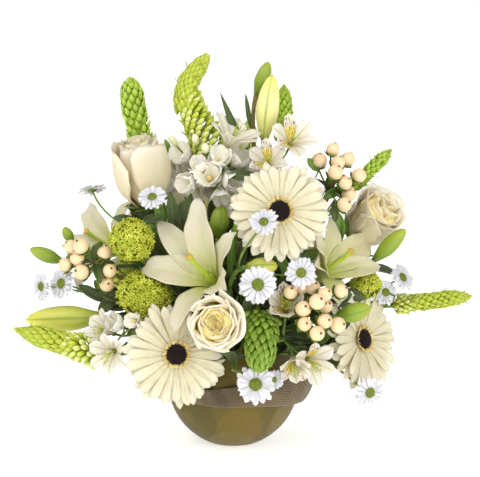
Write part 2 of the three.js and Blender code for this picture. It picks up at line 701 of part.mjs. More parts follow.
// The arrangement
const flowers = [
  gerbera("gerbera_left", {
    at: [-50, -104, 105], turn: 10, rise: 12, roll: 20.5, size: 50, reflex: 8,
    stalk: { entry: [-26, 32], reach: 25 },
  }),
  gerbera("gerbera_top", {
    at: [41, -92, 231], turn: 0, rise: 15, size: 47,
    stalk: { entry: [26, 52], reach: 45 },
  }),
  gerbera("gerbera_right", {
    at: [119, -42, 106], turn: 55, rise: 14, size: 46, cup: 3,
    stalk: { entry: [74, 32], reach: 30 },
  }),
  gerbera("gerbera_back", {
    at: [60, 95, 165], turn: 165, rise: 15, size: 46,
    stalk: { entry: [150, 42], reach: 35 },
  }),

  lily("lily_centre", {
    at: [-14, -74, 162], turn: -39, rise: 35, size: 82,
    tepals: [
      { angle: 104, lift: 70, curl: -59 },
      { angle: 148, lift: 63, curl: -62, length: 1.03 },
      { angle: 188, lift: 65, curl: -71, length: 0.9 },
      { angle: 268, lift: 62, curl: -72, length: 0.85 },
      { angle: 336, lift: 66, curl: -55, length: 0.68 },
      { angle: 48, lift: 68, curl: -51, length: 0.78 },
    ],
    stalk: { entry: [-12, 48], reach: 30 },
    buds: [
      { from: [-14, -40, 199], to: [-11, -40, 231], radius: 8.5, share: 0.7 },
      { from: [3, -50, 198], to: [6, -50, 221], radius: 5, share: 0.7 },
      { from: [11, -92, 181], to: [40, -90, 182], radius: 8, share: 0.78 },
    ],
  }),
  lily("lily_right", {
    at: [76, -50, 166], turn: 54, rise: 32, size: 76,
    tepals: [
      { angle: 14, lift: 59, curl: -72 },
      { angle: 64, lift: 66, curl: -69, length: 0.78 },
      { angle: 146, lift: 71, curl: -56, length: 0.77 },
      { angle: 178, lift: 68, curl: -57, length: 0.75 },
      { angle: 270, lift: 55, curl: -90, length: 0.48 },
      { angle: 345, lift: 65, curl: -68, length: 0.89 },
    ],
    stalk: { entry: [52, 50], reach: 30 },
    buds: [
      { from: [130, -22, 176], to: [157, -46, 209], radius: 7.5, share: 0.62 },
      { from: [92, -79, 134], to: [124, -82, 143], radius: 8, share: 0.85 },
    ],
  }),
  lily("lily_left", {
    at: [-105, -12, 181], turn: -60, rise: 30, size: 70,
    tepals: [
      { angle: 149, lift: 60, curl: -72 },
      { angle: 193, lift: 63, curl: -67 },
      { angle: 261, lift: 58, curl: -75, length: 0.8 },
      { angle: 321, lift: 58, curl: -75, length: 0.44 },
      { angle: 30, lift: 58, curl: -110, length: 0.6 },
      { angle: 85, lift: 60, curl: -90, length: 0.7 },
    ],
    stalk: { entry: [-75, 50], reach: 30 },
    buds: [
      { from: [-159, -14, 174], to: [-190, -12, 186], radius: 6.6, share: 0.85 },
      { from: [-150, -14, 192], to: [-158, -8, 206], radius: 5, fork: [-158, -13.8, 174] },
    ],
  }),
  lily("lily_back", {
    at: [-20, 60, 200], turn: 195, rise: 30, size: 66,
    stalk: { entry: [190, 62], reach: 35 },
  }),

  budStem("lily_bud_stem_top", {
    fork: [22, 4, 262], entry: [100, 76], arrive: [0, 0, 1],
    buds: [
      { from: [28, -12, 286], to: [36, -12, 348], radius: 10.3 },
      { from: [21, 12, 326], to: [33, 12, 359], radius: 7 },
    ],
  }),
  budStem("lily_bud_stem_left", {
    fork: [-96, -34, 124], entry: [-62, 34], arrive: [-1, -0.1, 0.1],
    buds: [{ from: [-119, -34, 125], to: [-193, -30, 122], radius: 11.7 }],
  }),

  rose("rose_left", {
    at: [-79, -28, 229], turn: -45, rise: 77, size: 60,
    stalk: { entry: [-70, 62], reach: 45 },
  }),
  rose("rose_front", {
    at: [-15, -105, 134], turn: 0, rise: 10, size: 54,
    stalk: { entry: [3, 37], reach: 31 },
  }),
  rose("rose_right", {
    at: [115, 17, 200], turn: 42, rise: 38, size: 54,
    stalk: { entry: [84, 46], reach: 40 },
  }),
  rose("rose_back", {
    at: [-42, 76, 114], turn: 205, rise: 14, size: 50,
    stalk: { entry: [208, 33], reach: 25 },
  }),

  spike("spike_tall", {
    path: [[-23, -18, 253], [-34, -12, 283], [-45, -8, 313], [-44, -6, 338], [-24, -6, 365]],
    width: 32, tipWidth: 15, rows: 12, sides: 8, openRows: 4,
    stalk: { entry: [-52, 80] },
    florets: [[0.02, -35, 5], [0.05, 50, 5], [0.02, -105, 15], [0.02, 165, 10]],
  }),
  spike("spike_left_top", {
    path: [[-86, 4, 282], [-92, 5, 312], [-96, 6, 343]],
    width: 24, tipWidth: 12, rows: 9,
    stalk: { entry: [-104, 64] },
  }),
  spike("spike_right", {
    path: [[150, 6, 133], [186, -8, 137], [221, -24, 142]],
    width: 20, tipWidth: 10, rows: 10,
    stalk: { entry: [98, 39] },
  }),
  spike("spike_left_low", {
    path: [[-115, -62, 98], [-155, -62, 107], [-197, -62, 119]],
    width: 27, tipWidth: 11, rows: 11,
    stalk: { entry: [-50, 31] },
  }),
  spike("spike_front", {
    path: [[24, -72, 132], [25, -100, 122], [23, -124, 96]],
    width: 32, tipWidth: 18, rows: 7, sides: 8,
    stalk: { entry: [18, 40] },
  }),
  spike("spike_right_top", {
    path: [[112, 10, 241], [131, 11, 259], [148, 12, 276]],
    width: 16, tipWidth: 8, rows: 8,
    stalk: { entry: [95, 56] },
  }),
  spike("spike_top", {
    path: [[47, 30, 285], [48, 32, 310], [48, 34, 335]],
    width: 20, tipWidth: 10, rows: 8,
    stalk: { entry: [135, 68] },
  }),
  spike("spike_back", {
    path: [[8, 66, 250], [12, 79, 274], [16, 90, 298]],
    width: 24, tipWidth: 12, rows: 10,
    stalk: { entry: [165, 66] },
  }),

  hypericum("hypericum_top_right", {
    fork: [90, -26, 240], stalk: { entry: [70, 62] },
    berries: [
      [92, -22, 280], [79, -26, 270], [106, -14, 270], [96, -34, 269], [93, -44, 261],
      [116, -24, 256], [102, -42, 251], [106, -34, 240], [101, -50, 232],
    ],
    leaves: [[[1, -0.6, 0.1], 24], [[-0.6, -0.4, 0.8], 22]],
  }),
  hypericum("hypericum_left", {
    fork: [-126, -46, 178], stalk: { entry: [-72, 40] },
    berries: [
      [-148, -46, 193], [-138, -56, 195], [-142, -50, 183], [-154, -44, 176], [-138, -56, 171],
      [-117, -50, 189], [-112, -54, 172], [-115, -50, 159],
    ],
    leaves: [[[-1, -0.4, 0.2], 20]],
  }),
  hypericum("hypericum_right", {
    fork: [70, -76, 140], stalk: { entry: [38, 42] },
    berries: [
      [51, -98, 160], [61, -90, 164], [71, -92, 163], [81, -104, 159], [74, -112, 154], [82, -94, 147],
      [96, -92, 160], [62, -108, 147], [81, -108, 136], [63, -112, 134], [93, -100, 131], [74, -114, 126],
    ],
    leaves: [[[0.3, -1, -0.5], 22], [[-0.6, -1, 0.1], 20]],
  }),
  hypericum("hypericum_back", {
    fork: [-90, 50, 188], stalk: { entry: [228, 56] },
    berries: [
      [-98, 73, 207], [-110, 66, 201], [-88, 76, 198], [-102, 78, 190], [-114, 66, 187], [-94, 60, 214],
    ],
    leaves: [[[-0.6, 1, -0.3], 22]],
  }),

  viburnum("viburnum_left", {
    fork: [-72, -46, 160], stalk: { entry: [-45, 50] },
    heads: [
      { at: [-91, -66, 202], radii: [20, 18, 19], rings: 8 },
      { at: [-80, -62, 151], radii: [25, 20, 22], rings: 8 },
    ],
  }),
  viburnum("viburnum_right", {
    fork: [110, -22, 156], stalk: { entry: [66, 40] },
    heads: [{ at: [123, -32, 155], radii: [14, 11, 12], rings: 6 }],
  }),
  viburnum("viburnum_back", {
    fork: [-78, 44, 140], stalk: { entry: [240, 42] },
    heads: [{ at: [-98, 58, 150], radii: [23, 23, 22], rings: 8 }],
  }),

  daisies("daisies_top_left", {
    fork: [-72, -44, 212], stalk: { entry: [-50, 63] },
    heads: [
      { at: [-72, -70, 241], turn: -10, rise: 30, size: 14 },
      { at: [-132, 0, 239], turn: -60, rise: 50, size: 12, via: [-112, -50, 208] },
    ],
  }),
  daisies("daisies_left", {
    fork: [-140, -36, 150], stalk: { entry: [-85, 36] },
    heads: [
      { at: [-177, -40, 155], turn: -60, rise: 20, size: 12 },
      { at: [-159, -34, 156], turn: -30, rise: 60, size: 13 },
    ],
  }),
  daisies("daisies_centre", {
    fork: [8, -78, 176], stalk: { entry: [10, 56] },
    heads: [
      { at: [22, -112, 169], turn: 0, rise: 10, size: 18 },
      { at: [60, -104, 178], turn: -10, rise: 20, size: 15 },
      { at: [27, -112, 224], turn: -10, rise: 10, size: 14, via: [-2, -124, 191] },
    ],
  }),
  daisies("daisies_front", {
    fork: [0, -92, 88], stalk: { entry: [14, 30], lead: 50 },
    heads: [
      { at: [20, -108, 79], turn: 0, rise: 4, size: 19 },
      { at: [36, -103, 82], turn: 15, rise: 0, size: 10 },
    ],
  }),
  daisies("daisy_right_low", {
    fork: [126, -50, 58], stalk: { entry: [50, 30], reach: 30 },
    heads: [{ at: [124, -72, 63], turn: 25, rise: -5, size: 16, arrive: [0.85, -0.3, -0.45] }],
  }),
  daisies("daisies_right", {
    fork: [128, -6, 146], stalk: { entry: [88, 34] },
    heads: [
      { at: [158, -14, 159], turn: 80, rise: 35, size: 13 },
      { at: [142, -20, 146], turn: 45, rise: 10, size: 10 },
    ],
  }),
  daisies("daisies_back", {
    fork: [10, 82, 112], stalk: { entry: [175, 34] },
    heads: [
      { at: [36, 104, 106], turn: 160, rise: 5, size: 17 },
      { at: [-6, 112, 92], turn: 190, rise: 0, size: 16 },
      { at: [6, 104, 130], turn: 180, rise: 25, size: 14 },
    ],
  }),

  alstroemeria("alstroemeria_top", {
    fork: [28, -20, 250], stalk: { entry: [36, 72] },
    heads: [
      { at: [53, -26, 286], turn: 12, rise: 35, size: 27 },
      { at: [-4, -31, 284], turn: 50, rise: 60, size: 32 },
      { at: [32, -40, 268], turn: -5, rise: 35, size: 24 },
    ],
    leaves: [[0.9, [-0.4, 0.05, 1], 90], [0.9, [-0.55, 0.25, 1], 72]],
  }),
  alstroemeria("alstroemeria_right_low", {
    fork: [46, -72, 112], stalk: { entry: [32, 32] },
    heads: [
      { at: [47, -84, 141], turn: 0, rise: 35, size: 28, open: 0.6 },
      { at: [68, -84, 96], turn: 25, rise: -5, size: 26 },
      { at: [54, -94, 97], turn: 8, rise: -32, size: 22, open: 0.7 },
    ],
  }),
  alstroemeria("alstroemeria_left_low", {
    fork: [-92, -56, 116], stalk: { entry: [-48, 42] },
    heads: [
      { at: [-108, -78, 102], turn: -25, rise: 0, size: 24 },
      { at: [-112, -66, 118], turn: -50, rise: 25, size: 24, open: 0.7 },
    ],
  }),

  leafyStem("leafy_stem_left", {
    fork: [-56, 16, 188], stalk: { entry: [-114, 50] },
    leaves: [[[-1, -0.4, 0.8], 48], [[0.9, -0.3, 0.8], 45], [[-1, 0.7, 0.8], 60], [[0.2, 0.6, 1], 50]],
  }),
  leafyStem("leafy_stem_right", {
    fork: [100, 30, 160], stalk: { entry: [110, 46] },
    leaves: [[[1, -0.5, 0.1], 70], [[0.8, 0.8, 0.3], 60], [[0.3, 1, 0.6], 50], [[0.6, 0.4, 1], 55]],
  }),
];

const centerpiece = new THREE.Group();
centerpiece.add(
  ...flowers.flat(),
  node("bowl", bowl(), GOLD_GLASS),
  node("foam", foam(), FOAM),
  node("mesh_wrap", wrap(), MESH_WRAP),
);

export default centerpiece;
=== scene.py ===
"""A fresh floral table centerpiece: white and green flowers in a gold-lustre bubble bowl."""

import random
from math import asin, atan2, cos, exp, pi, radians, sin, sqrt, tau

import bmesh
import bpy
from bpy.props import FloatProperty, FloatVectorProperty, IntProperty, PointerProperty
from bpy.types import Operator, Panel, PropertyGroup
from mathutils import Matrix, Vector


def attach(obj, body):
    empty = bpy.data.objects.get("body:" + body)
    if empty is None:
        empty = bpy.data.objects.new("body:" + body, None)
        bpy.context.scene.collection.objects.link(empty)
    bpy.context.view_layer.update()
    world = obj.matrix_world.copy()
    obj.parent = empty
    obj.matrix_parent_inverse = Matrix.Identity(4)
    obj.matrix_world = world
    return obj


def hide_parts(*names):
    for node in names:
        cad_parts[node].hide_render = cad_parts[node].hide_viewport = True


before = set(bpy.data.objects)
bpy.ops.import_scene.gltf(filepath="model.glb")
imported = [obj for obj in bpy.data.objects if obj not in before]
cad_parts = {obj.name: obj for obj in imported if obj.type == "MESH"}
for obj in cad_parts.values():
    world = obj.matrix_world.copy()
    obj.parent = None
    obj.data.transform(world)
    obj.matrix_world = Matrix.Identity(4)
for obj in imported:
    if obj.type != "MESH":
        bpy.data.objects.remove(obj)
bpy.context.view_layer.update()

bl_info = {
    "name": "Floral table centerpiece",
    "version": (1, 0, 0),
    "blender": (4, 5, 0),
    "location": "View3D > Sidebar > Centerpiece",
    "description": "Builds a fresh flower arrangement in a gold-lustre bubble bowl",
    "category": "Add Mesh",
}

# Millimetres, +Z up, the front towards -Y; finished meshes are in metres
MM = 0.001
UP = Vector((0, 0, 1))
VIEWER = Vector((0, -0.97, 0.24))
GOLDEN_TURN = pi * (3 - sqrt(5))
FOAM_FOCUS = Vector((0, 0, 85))
DOME_RADIUS = 42
STEM_DEPTH = 12
BOWL_RADIUS = 62.5
FOOT_RADIUS = 24
RIM_HEIGHT = 100
WALL = 3
BOWL_CENTRE = sqrt(BOWL_RADIUS**2 - FOOT_RADIUS**2)
MERGE_DISTANCE = 1e-3

# The wrap's lower and upper edge at its two sides, and the flare of its loose end
WRAP_LEFT = (50, 56)
WRAP_RIGHT = (43.5, 77)
FLARE_REACH = 16
FLARE_TURN = 80
FLARE_SPREAD = 34

# The camera looks at this point from the photograph's height. The lamps' places are metres from it
LOOKED_AT = Vector((6.3, 0, 193.9))
CAMERA_RISE = radians(8)
CAMERA_LENS = 119.68
SENSOR_WIDTH = 36
KEY_PLACE = Vector((-0.9, -1.3, 1.5))
FILL_PLACE = Vector((0.9, -1.6, 0.5))
KEY_SIZE = 1.1
FILL_SIZE = 1.2
SEEN_BACKDROP = 1.05
FLOOR_GLOW = 0.62

# Each kind of flower has its own seed, so that a change to one leaves the others as they are
SEEDS = {"gerberas": 11, "lilies": 23, "roses": 5, "spikes": 31, "hypericum": 47, "viburnum": 59, "daisies": 71,
         "alstroemeria": 83, "foliage": 97}

# Radii of the stems
STEMS = {"gerbera": 2.5, "lily": 2.8, "rose": 2.7, "spike": 2.3, "hypericum": 1.9, "viburnum": 2, "daisy": 1.4,
         "alstroemeria": 1.7, "leafy": 1.5, "sprig": 1.1, "twig": 0.8}

# Width times depth plus width times height of the viburnum head that has the full number of florets, from its radii
FULL_HEAD = 25 * 20 + 25 * 22

# Numbers of small parts
EYE_FLORETS = 130
ANTHERS = 70
SPIKE_BRACTS = 22
EYE_DOTS = 46
SPRIG_LEAVES = 7

# Outlines of petals and leaves: (share of the length, share of the width)
RAY = ((0, 0.3), (0.3, 0.62), (0.7, 1), (0.88, 0.96), (1, 0.52))
TEPAL = ((0, 0.22), (0.16, 0.46), (0.45, 1), (0.78, 0.76), (0.93, 0.36), (1, 0.03))
LANCE = ((0, 0.15), (0.3, 0.9), (0.7, 0.75), (0.92, 0.28), (1, 0.02))
ROUND_LEAF = ((0, 0.1), (0.25, 0.8), (0.65, 0.95), (0.9, 0.45), (1, 0.03))
SPOON = ((0, 0.14), (0.3, 0.5), (0.65, 1), (0.9, 0.8), (1, 0.2))
CUPPED = ((0, 0.3), (0.3, 0.85), (0.6, 1), (0.88, 0.7), (1, 0.12))

# Outlines of round bodies: (share of the length, share of the radius)
LILY_BUD = ((0, 0), (0.02, 0.34), (0.12, 0.55), (0.42, 1), (0.75, 0.84), (0.93, 0.42), (0.99, 0.2), (1, 0))
TIGHT_BUD = ((0, 0), (0.05, 0.3), (0.35, 1), (0.7, 0.72), (0.95, 0.14), (1, 0))
PLUMP_BUD = ((0, 0), (0.05, 0.4), (0.4, 1), (0.75, 0.86), (0.96, 0.3), (1, 0))
BERRY = ((0, 0), (0.04, 0.4), (0.26, 0.9), (0.5, 1), (0.74, 0.84), (0.92, 0.4), (0.98, 0.12), (1, 0))
DOME = ((0, 0), (0.01, 0.92), (0.3, 1), (0.75, 0.72), (0.95, 0.3), (1, 0))
CALYX = ((0, 0), (0.03, 0.3), (0.4, 0.62), (0.85, 1), (0.99, 0.96), (1, 0))
HEART = ((0, 0), (0.02, 0.3), (0.3, 0.95), (0.6, 1), (0.88, 0.86), (0.97, 0.6), (1, 0))
BALL = ((0, 0), (0.03, 0.34), (0.15, 0.71), (0.5, 1), (0.85, 0.71), (0.97, 0.34), (1, 0))


def way(turn, rise):
    """The direction at a turn from the front and a rise, in degrees; a turn of 90 is to the right."""
    turn, rise = radians(turn), radians(rise)
    return Vector((sin(turn) * cos(rise), -cos(turn) * cos(rise), sin(rise)))


def axes(x, y, z, at):
    matrix = Matrix((x, y, z)).transposed().to_4x4()
    matrix.translation = at
    return matrix


def head_frame(at, turn, rise, roll=0):
    """A flower head's place: its local +Z faces out, +X is its right and +Y its top."""
    facing = way(turn, rise)
    right = UP.cross(facing).normalized()
    return axes(right, facing.cross(right), facing, Vector(at)) @ Matrix.Rotation(radians(roll), 4, "Z")


def leaf_frame(at, direction, face=UP):
    """A leaf's place: it starts at a point and runs out along a direction, its face as near up as can be."""
    out = Vector(direction).normalized()
    across = face.cross(out).normalized()
    return axes(out, across, out.cross(across), Vector(at))


def aimed(at, direction, roll=0.0):
    """A round body's place: it starts at a point and its axis runs along a direction."""
    matrix = Vector(direction).to_track_quat("Z", "Y").to_matrix().to_4x4()
    matrix.translation = Vector(at)
    return matrix @ Matrix.Rotation(roll, 4, "Z")


def slot(angle, out, up=0.0):
    """A petal's place on a head: turned round the facing axis, then moved out and up."""
    return Matrix.Rotation(radians(angle), 4, "Z") @ Matrix.Translation((out, 0, up))


def scaled(x, y, z):
    return Matrix.Diagonal((x, y, z, 1))


def raised(z):
    return Matrix.Translation((0, 0, z))


def between(low, high, share):
    return low + (high - low) * share


def eased(stations, share):
    """The value at a share along stations of (share, value), joined by a smooth curve."""
    last = len(stations) - 1
    i = 0
    while i < last - 1 and share > stations[i + 1][0]:
        i += 1

    def slope(a, b):
        return (stations[b][1] - stations[a][1]) / (stations[b][0] - stations[a][0])

    (x0, y0), (x1, y1) = stations[i], stations[i + 1]
    span = x1 - x0
    t = (share - x0) / span
    leave = slope(max(i - 1, 0), i + 1) * span
    arrive = slope(i, min(i + 2, last)) * span
    return y0 + t * (leave + t * (3 * (y1 - y0) - 2 * leave - arrive + t * (2 * (y0 - y1) + leave + arrive)))


def eased_point(points, share):
    """The point at a share along a smooth curve through points."""
    last = len(points) - 1
    return Vector([eased([(i / last, p[k]) for i, p in enumerate(points)], share) for k in range(3)])


def mapped():
    """An empty bmesh with a UV map."""
    bm = bmesh.new()
    bm.loops.layers.uv.new("UVMap")
    return bm


def made(bm, name="shape"):
    """The mesh of a bmesh that is done."""
    mesh = bpy.data.meshes.new(name)
    bm.to_mesh(mesh)
    bm.free()
    return mesh


def surface(across, along, place, closed=False, thickness=0.0):
    """A shape drawn out from a grid: place gives the point at a share across and a share along."""
    bm = mapped()
    bmesh.ops.create_grid(bm, x_segments=across, y_segments=along, size=0.5, calc_uvs=True)
    for vert in bm.verts:
        vert.co = place(vert.co.x + 0.5, vert.co.y + 0.5)
    if closed:
        bmesh.ops.remove_doubles(bm, verts=bm.verts, dist=MERGE_DISTANCE)
        bmesh.ops.recalc_face_normals(bm, faces=bm.faces)
    if thickness:
        bmesh.ops.solidify(bm, geom=bm.faces[:], thickness=thickness)
    return made(bm)


def blade(outline, length, width, lift=0, curl=0, cup=0, twist=0, ruffle=0, waves=3, groove=0, folds=0,
          blunt=0.0, notch=0.0, phase=0.0, cells=(6, 12), thickness=0.5):
    """A petal or leaf from the origin out along +X, its upper face towards +Z.

    It starts at the angle lift, turns by curl on its way, and its edges rise by cup and wave by ruffle."""
    start = radians(lift)

    def place(side, share):
        across = 1 - 2 * side
        wide = eased(outline, share)
        tip = share**6
        reach = length * (share - blunt * tip * across**2 - notch * tip * (0.5 + 0.5 * cos(3 * pi * across)))
        bend = radians(curl) * share or 1e-6
        radius = reach / bend
        lean = start + bend
        rise = cup * wide * abs(across) ** 1.6 - folds * wide * cos(3 * pi * across) * (1 - 0.5 * tip)
        rise += ruffle * share * across**2 * sin(tau * waves * share + phase + (1.9 if across > 0 else 0))
        rise -= groove * exp(-((across / 0.22) ** 2)) * sin(pi * min(share * 1.1, 1))
        half = across * wide * width / 2
        roll = radians(twist) * share
        level = half * cos(roll) - rise * sin(roll)
        upper = half * sin(roll) + rise * cos(roll)
        return Vector((
            radius * (sin(lean) - sin(start)) - sin(lean) * upper,
            level,
            radius * (cos(start) - cos(lean)) + cos(lean) * upper,
        ))

    return surface(*cells, place, thickness=thickness)


def spun(outline, length, radius, sides=8, rings=8, lobes=0, depth=0.0):
    """A closed round body from the origin up +Z, with lobes round it if wanted."""
    def place(side, share):
        angle = tau * side
        out = radius * max(eased(outline, share), 0) * (1 + depth * cos(lobes * angle))
        return Vector((cos(angle) * out, sin(angle) * out, length * share))

    return surface(sides, rings, place, closed=True)


def swept(points, radii, sides=7):
    """A closed tube along points, with its radius at each or one for all."""
    radii = radii if isinstance(radii, (list, tuple)) else [radii] * len(points)
    last = len(points) - 1
    rings = []
    cross = None
    for i, (point, radius) in enumerate(zip(points, radii)):
        tangent = (points[min(i + 1, last)] - points[max(i - 1, 0)]).normalized()
        cross = tangent.orthogonal() if cross is None else cross - tangent * cross.dot(tangent)
        cross.normalize()
        rings.append((point, cross.copy(), tangent.cross(cross), radius))
    rings = [(*rings[0][:3], 0), *rings, (*rings[-1][:3], 0)]

    def place(side, share):
        point, right, other, radius = rings[round(share * (last + 2))]
        return point + (right * cos(tau * side) + other * sin(tau * side)) * radius

    return surface(sides, last + 2, place, closed=True)


def star(lobes, depth, dish, thickness, corners=4):
    """A small flat floret of a radius of 1, with round lobes and a sunk middle."""
    bm = mapped()
    bmesh.ops.create_circle(bm, cap_ends=True, segments=lobes * corners, radius=1, calc_uvs=True)
    bmesh.ops.poke(bm, faces=bm.faces[:])
    for vert in bm.verts:
        out = vert.co.xy.length
        if out > 0.5:
            turn = atan2(vert.co.y, vert.co.x)
            vert.co *= 1 - depth * (0.5 - 0.5 * cos(lobes * turn)) ** 2
            vert.co.z = dish * (0.7 + 0.3 * cos(lobes * turn))
    bmesh.ops.solidify(bm, geom=bm.faces[:], thickness=thickness)
    return made(bm)


class Growth:
    """One piece as it grows: shapes in millimetres are set in place, then made its mesh."""

    def __init__(self, name, finish_slot, *replaced):
        self.name = name
        self.finish_slot = finish_slot
        self.replaced = replaced
        self.finishes = []
        self.bm = mapped()
        self.bm.verts.layers.float.new("tint")

    def add(self, shape, finish, place=None, tint=0.5):
        """Set a copy of a shape in place, in a finish; tint from 0 to 1 varies its colour."""
        if finish not in self.finishes:
            self.finishes.append(finish)
        copy = shape.copy()
        if place is not None:
            copy.transform(place)
        copy.polygons.foreach_set("material_index", [self.finishes.index(finish)] * len(copy.polygons))
        copy.attributes.new("tint", "FLOAT", "POINT").data.foreach_set("value", [tint] * len(copy.vertices))
        self.bm.from_mesh(copy)
        bpy.data.meshes.remove(copy)

    def end(self):
        """Make the piece, which rides on the whole arrangement's only body."""
        for face in self.bm.faces:
            face.smooth = True
        bmesh.ops.scale(self.bm, vec=(MM, MM, MM), verts=self.bm.verts)
        mesh = made(self.bm, self.name)
        for finish in self.finishes:
            mesh.materials.append(finish_named(finish))
        piece = bpy.data.objects.new(self.name, mesh)
        bpy.context.scene.collection.objects.link(piece)
        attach(piece, "root")
        if self.replaced:
            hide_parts(*self.replaced)
        return piece


# Stems and leaves


def route(to, arrive, entry, lead=40, reach=40, steps=16):
    """Points along a stem: it leaves the foam at an entry and comes up to a point along a direction."""
    out = way(*entry)
    to = Vector(to)
    a = FOAM_FOCUS + out * (DOME_RADIUS - STEM_DEPTH)
    b = FOAM_FOCUS + out * (DOME_RADIUS + lead)
    c = to - arrive * reach
    points = []
    for i in range(steps + 1):
        t = i / steps
        s = 1 - t
        points.append(a * s**3 + b * 3 * s * s * t + c * 3 * s * t * t + to * t**3)
    return points


def on_route(points, share):
    """The point at a share of a route's length."""
    lengths = [(q - p).length for p, q in zip(points, points[1:])]
    left = share * sum(lengths)
    for p, q, length in zip(points, points[1:], lengths):
        if left <= length:
            return p.lerp(q, left / length)
        left -= length
    return points[-1].copy()


def outward(point):
    return (Vector(point) - FOAM_FOCUS).normalized()


def bow(start, middle, end, steps=8):
    """Points on a bow between two points, drawn towards a third."""
    shares = [i / steps for i in range(steps + 1)]
    return [start * (1 - t) ** 2 + middle * 2 * t * (1 - t) + end * t * t for t in shares]


def add_stem(growth, spec, back, radius):
    """A bare stem from the foam to a single head, which it meets a little behind. It gives its points."""
    facing = way(spec["turn"], spec["rise"])
    path = route(Vector(spec["at"]) - facing * back, facing, spec["entry"], reach=spec["reach"])
    growth.add(swept(path, radius, 8), "stem")
    return path


def add_forked_stem(growth, spec, radius, finish="stem", sides=7):
    """A stem from the foam to the fork of a bunch. It gives the fork and its points."""
    fork = Vector(spec["fork"])
    path = route(fork, outward(fork), spec["entry"])
    growth.add(swept(path, radius, sides), finish)
    return fork, path


def add_leaf(growth, at, direction, length, width, finish="dark_leaf", outline=ROUND_LEAF, curl=-30, seed=0.0,
             tint=0.5, face=UP):
    shape = blade(outline, length, width, lift=6, curl=curl, cup=width * 0.16, ruffle=width * 0.04,
                  waves=2, groove=0.7, phase=seed, thickness=0.45)
    growth.add(shape, finish, leaf_frame(at, direction, face), tint)


# Materials


class Value:
    """An output in a material's nodes. Maths on it is written as an expression."""

    def __init__(self, finish, output):
        self.finish = finish
        self.output = output

    def part(self, index):
        return Value(self.finish, self.output.node.outputs[index])

    def maths(self, operation, *others):
        return self.finish.node("ShaderNodeMath", {"operation": operation}, dict(enumerate((self, *others))))

    def __add__(self, other):
        return self.maths("ADD", other)

    def __sub__(self, other):
        return self.maths("SUBTRACT", other)

    def __rsub__(self, other):
        return self.maths("MULTIPLY_ADD", -1.0, other)

    def __mul__(self, other):
        return self.maths("MULTIPLY", other)

    def __abs__(self):
        return self.maths("ABSOLUTE")

    __radd__ = __add__
    __rmul__ = __mul__


class Finish:
    """A material whose nodes are added one by one, and whose steady numbers sit on the shader."""

    def __init__(self, name, **steady):
        self.material = bpy.data.materials.new(f"fine_{name}")
        self.material.use_nodes = True
        self.nodes = self.material.node_tree.nodes
        self.links = self.material.node_tree.links
        self.shader = self.nodes["Principled BSDF"]
        for socket, value in steady.items():
            self.shader.inputs[socket.replace("_", " ").title()].default_value = value

    def node(self, kind, settings=None, values=None, output=0):
        node = self.nodes.new(kind)
        for name, value in (settings or {}).items():
            if name == "stops":
                self.set_stops(node.color_ramp.elements, value)
            else:
                setattr(node, name, value)
        self.feed(node, values or {})
        return Value(self, node.outputs[output])

    def set_stops(self, elements, stops):
        while len(elements) < len(stops):
            elements.new(1.0)
        for element, (position, colour) in zip(elements, stops):
            element.position = position
            element.color = colour

    def feed(self, node, values):
        for socket, value in values.items():
            if isinstance(value, Value):
                self.links.new(value.output, node.inputs[socket])
            else:
                node.inputs[socket].default_value = value

    def out(self, **values):
        self.feed(self.shader, {name.replace("_", " ").title(): value for name, value in values.items()})

    def place(self):
        return self.node("ShaderNodeTexCoord", output="Object")

    def uv(self):
        """The share across and the share along of a petal, leaf or tube."""
        across = self.node("ShaderNodeSeparateXYZ", None, {0: self.node("ShaderNodeUVMap", {"uv_map": "UVMap"})})
        return across, across.part(1)

    def plane(self, x, y):
        return self.node("ShaderNodeCombineXYZ", None, {0: x, 1: y})

    def tint(self):
        return self.node("ShaderNodeAttribute", {"attribute_name": "tint"}, output="Fac")

    def noise(self, scale, detail=2.0, vector=None):
        values = {"Vector": vector or self.place(), "Scale": scale, "Detail": detail}
        return self.node("ShaderNodeTexNoise", None, values)

    def ramp(self, value, stops):
        return self.node("ShaderNodeValToRGB", {"stops": stops}, {0: value})

    def mix(self, mask, first, second):
        return self.node("ShaderNodeMix", {"data_type": "RGBA"}, {0: mask, 6: first, 7: second}, output=2)

    def step(self, value, low, high):
        """0 below low, 1 above high, and a smooth rise between them."""
        settings = {"interpolation_type": "SMOOTHSTEP"}
        return self.node("ShaderNodeMapRange", settings, {0: value, 1: low, 2: high})

    def relief(self, height, depth, strength=1.0):
        """Raise the surface by up to a depth in metres."""
        bump = self.node("ShaderNodeBump", None, {"Height": height, "Distance": depth, "Strength": strength})
        self.out(normal=bump)


def colour(code):
    """A colour from its 24-bit screen code."""
    parts = [(code >> shift & 255) / 255 for shift in (16, 8, 0)]
    return (*[p / 12.92 if p <= 0.04045 else ((p + 0.055) / 1.055) ** 2.4 for p in parts], 1)


def colours(*stops):
    return [(position, colour(code)) for position, code in stops]


# Light passes through thin petals and leaves
THIN = {"roughness": 0.5, "subsurface_weight": 0.3, "subsurface_scale": 0.003, "subsurface_radius": (1, 0.9, 0.7)}


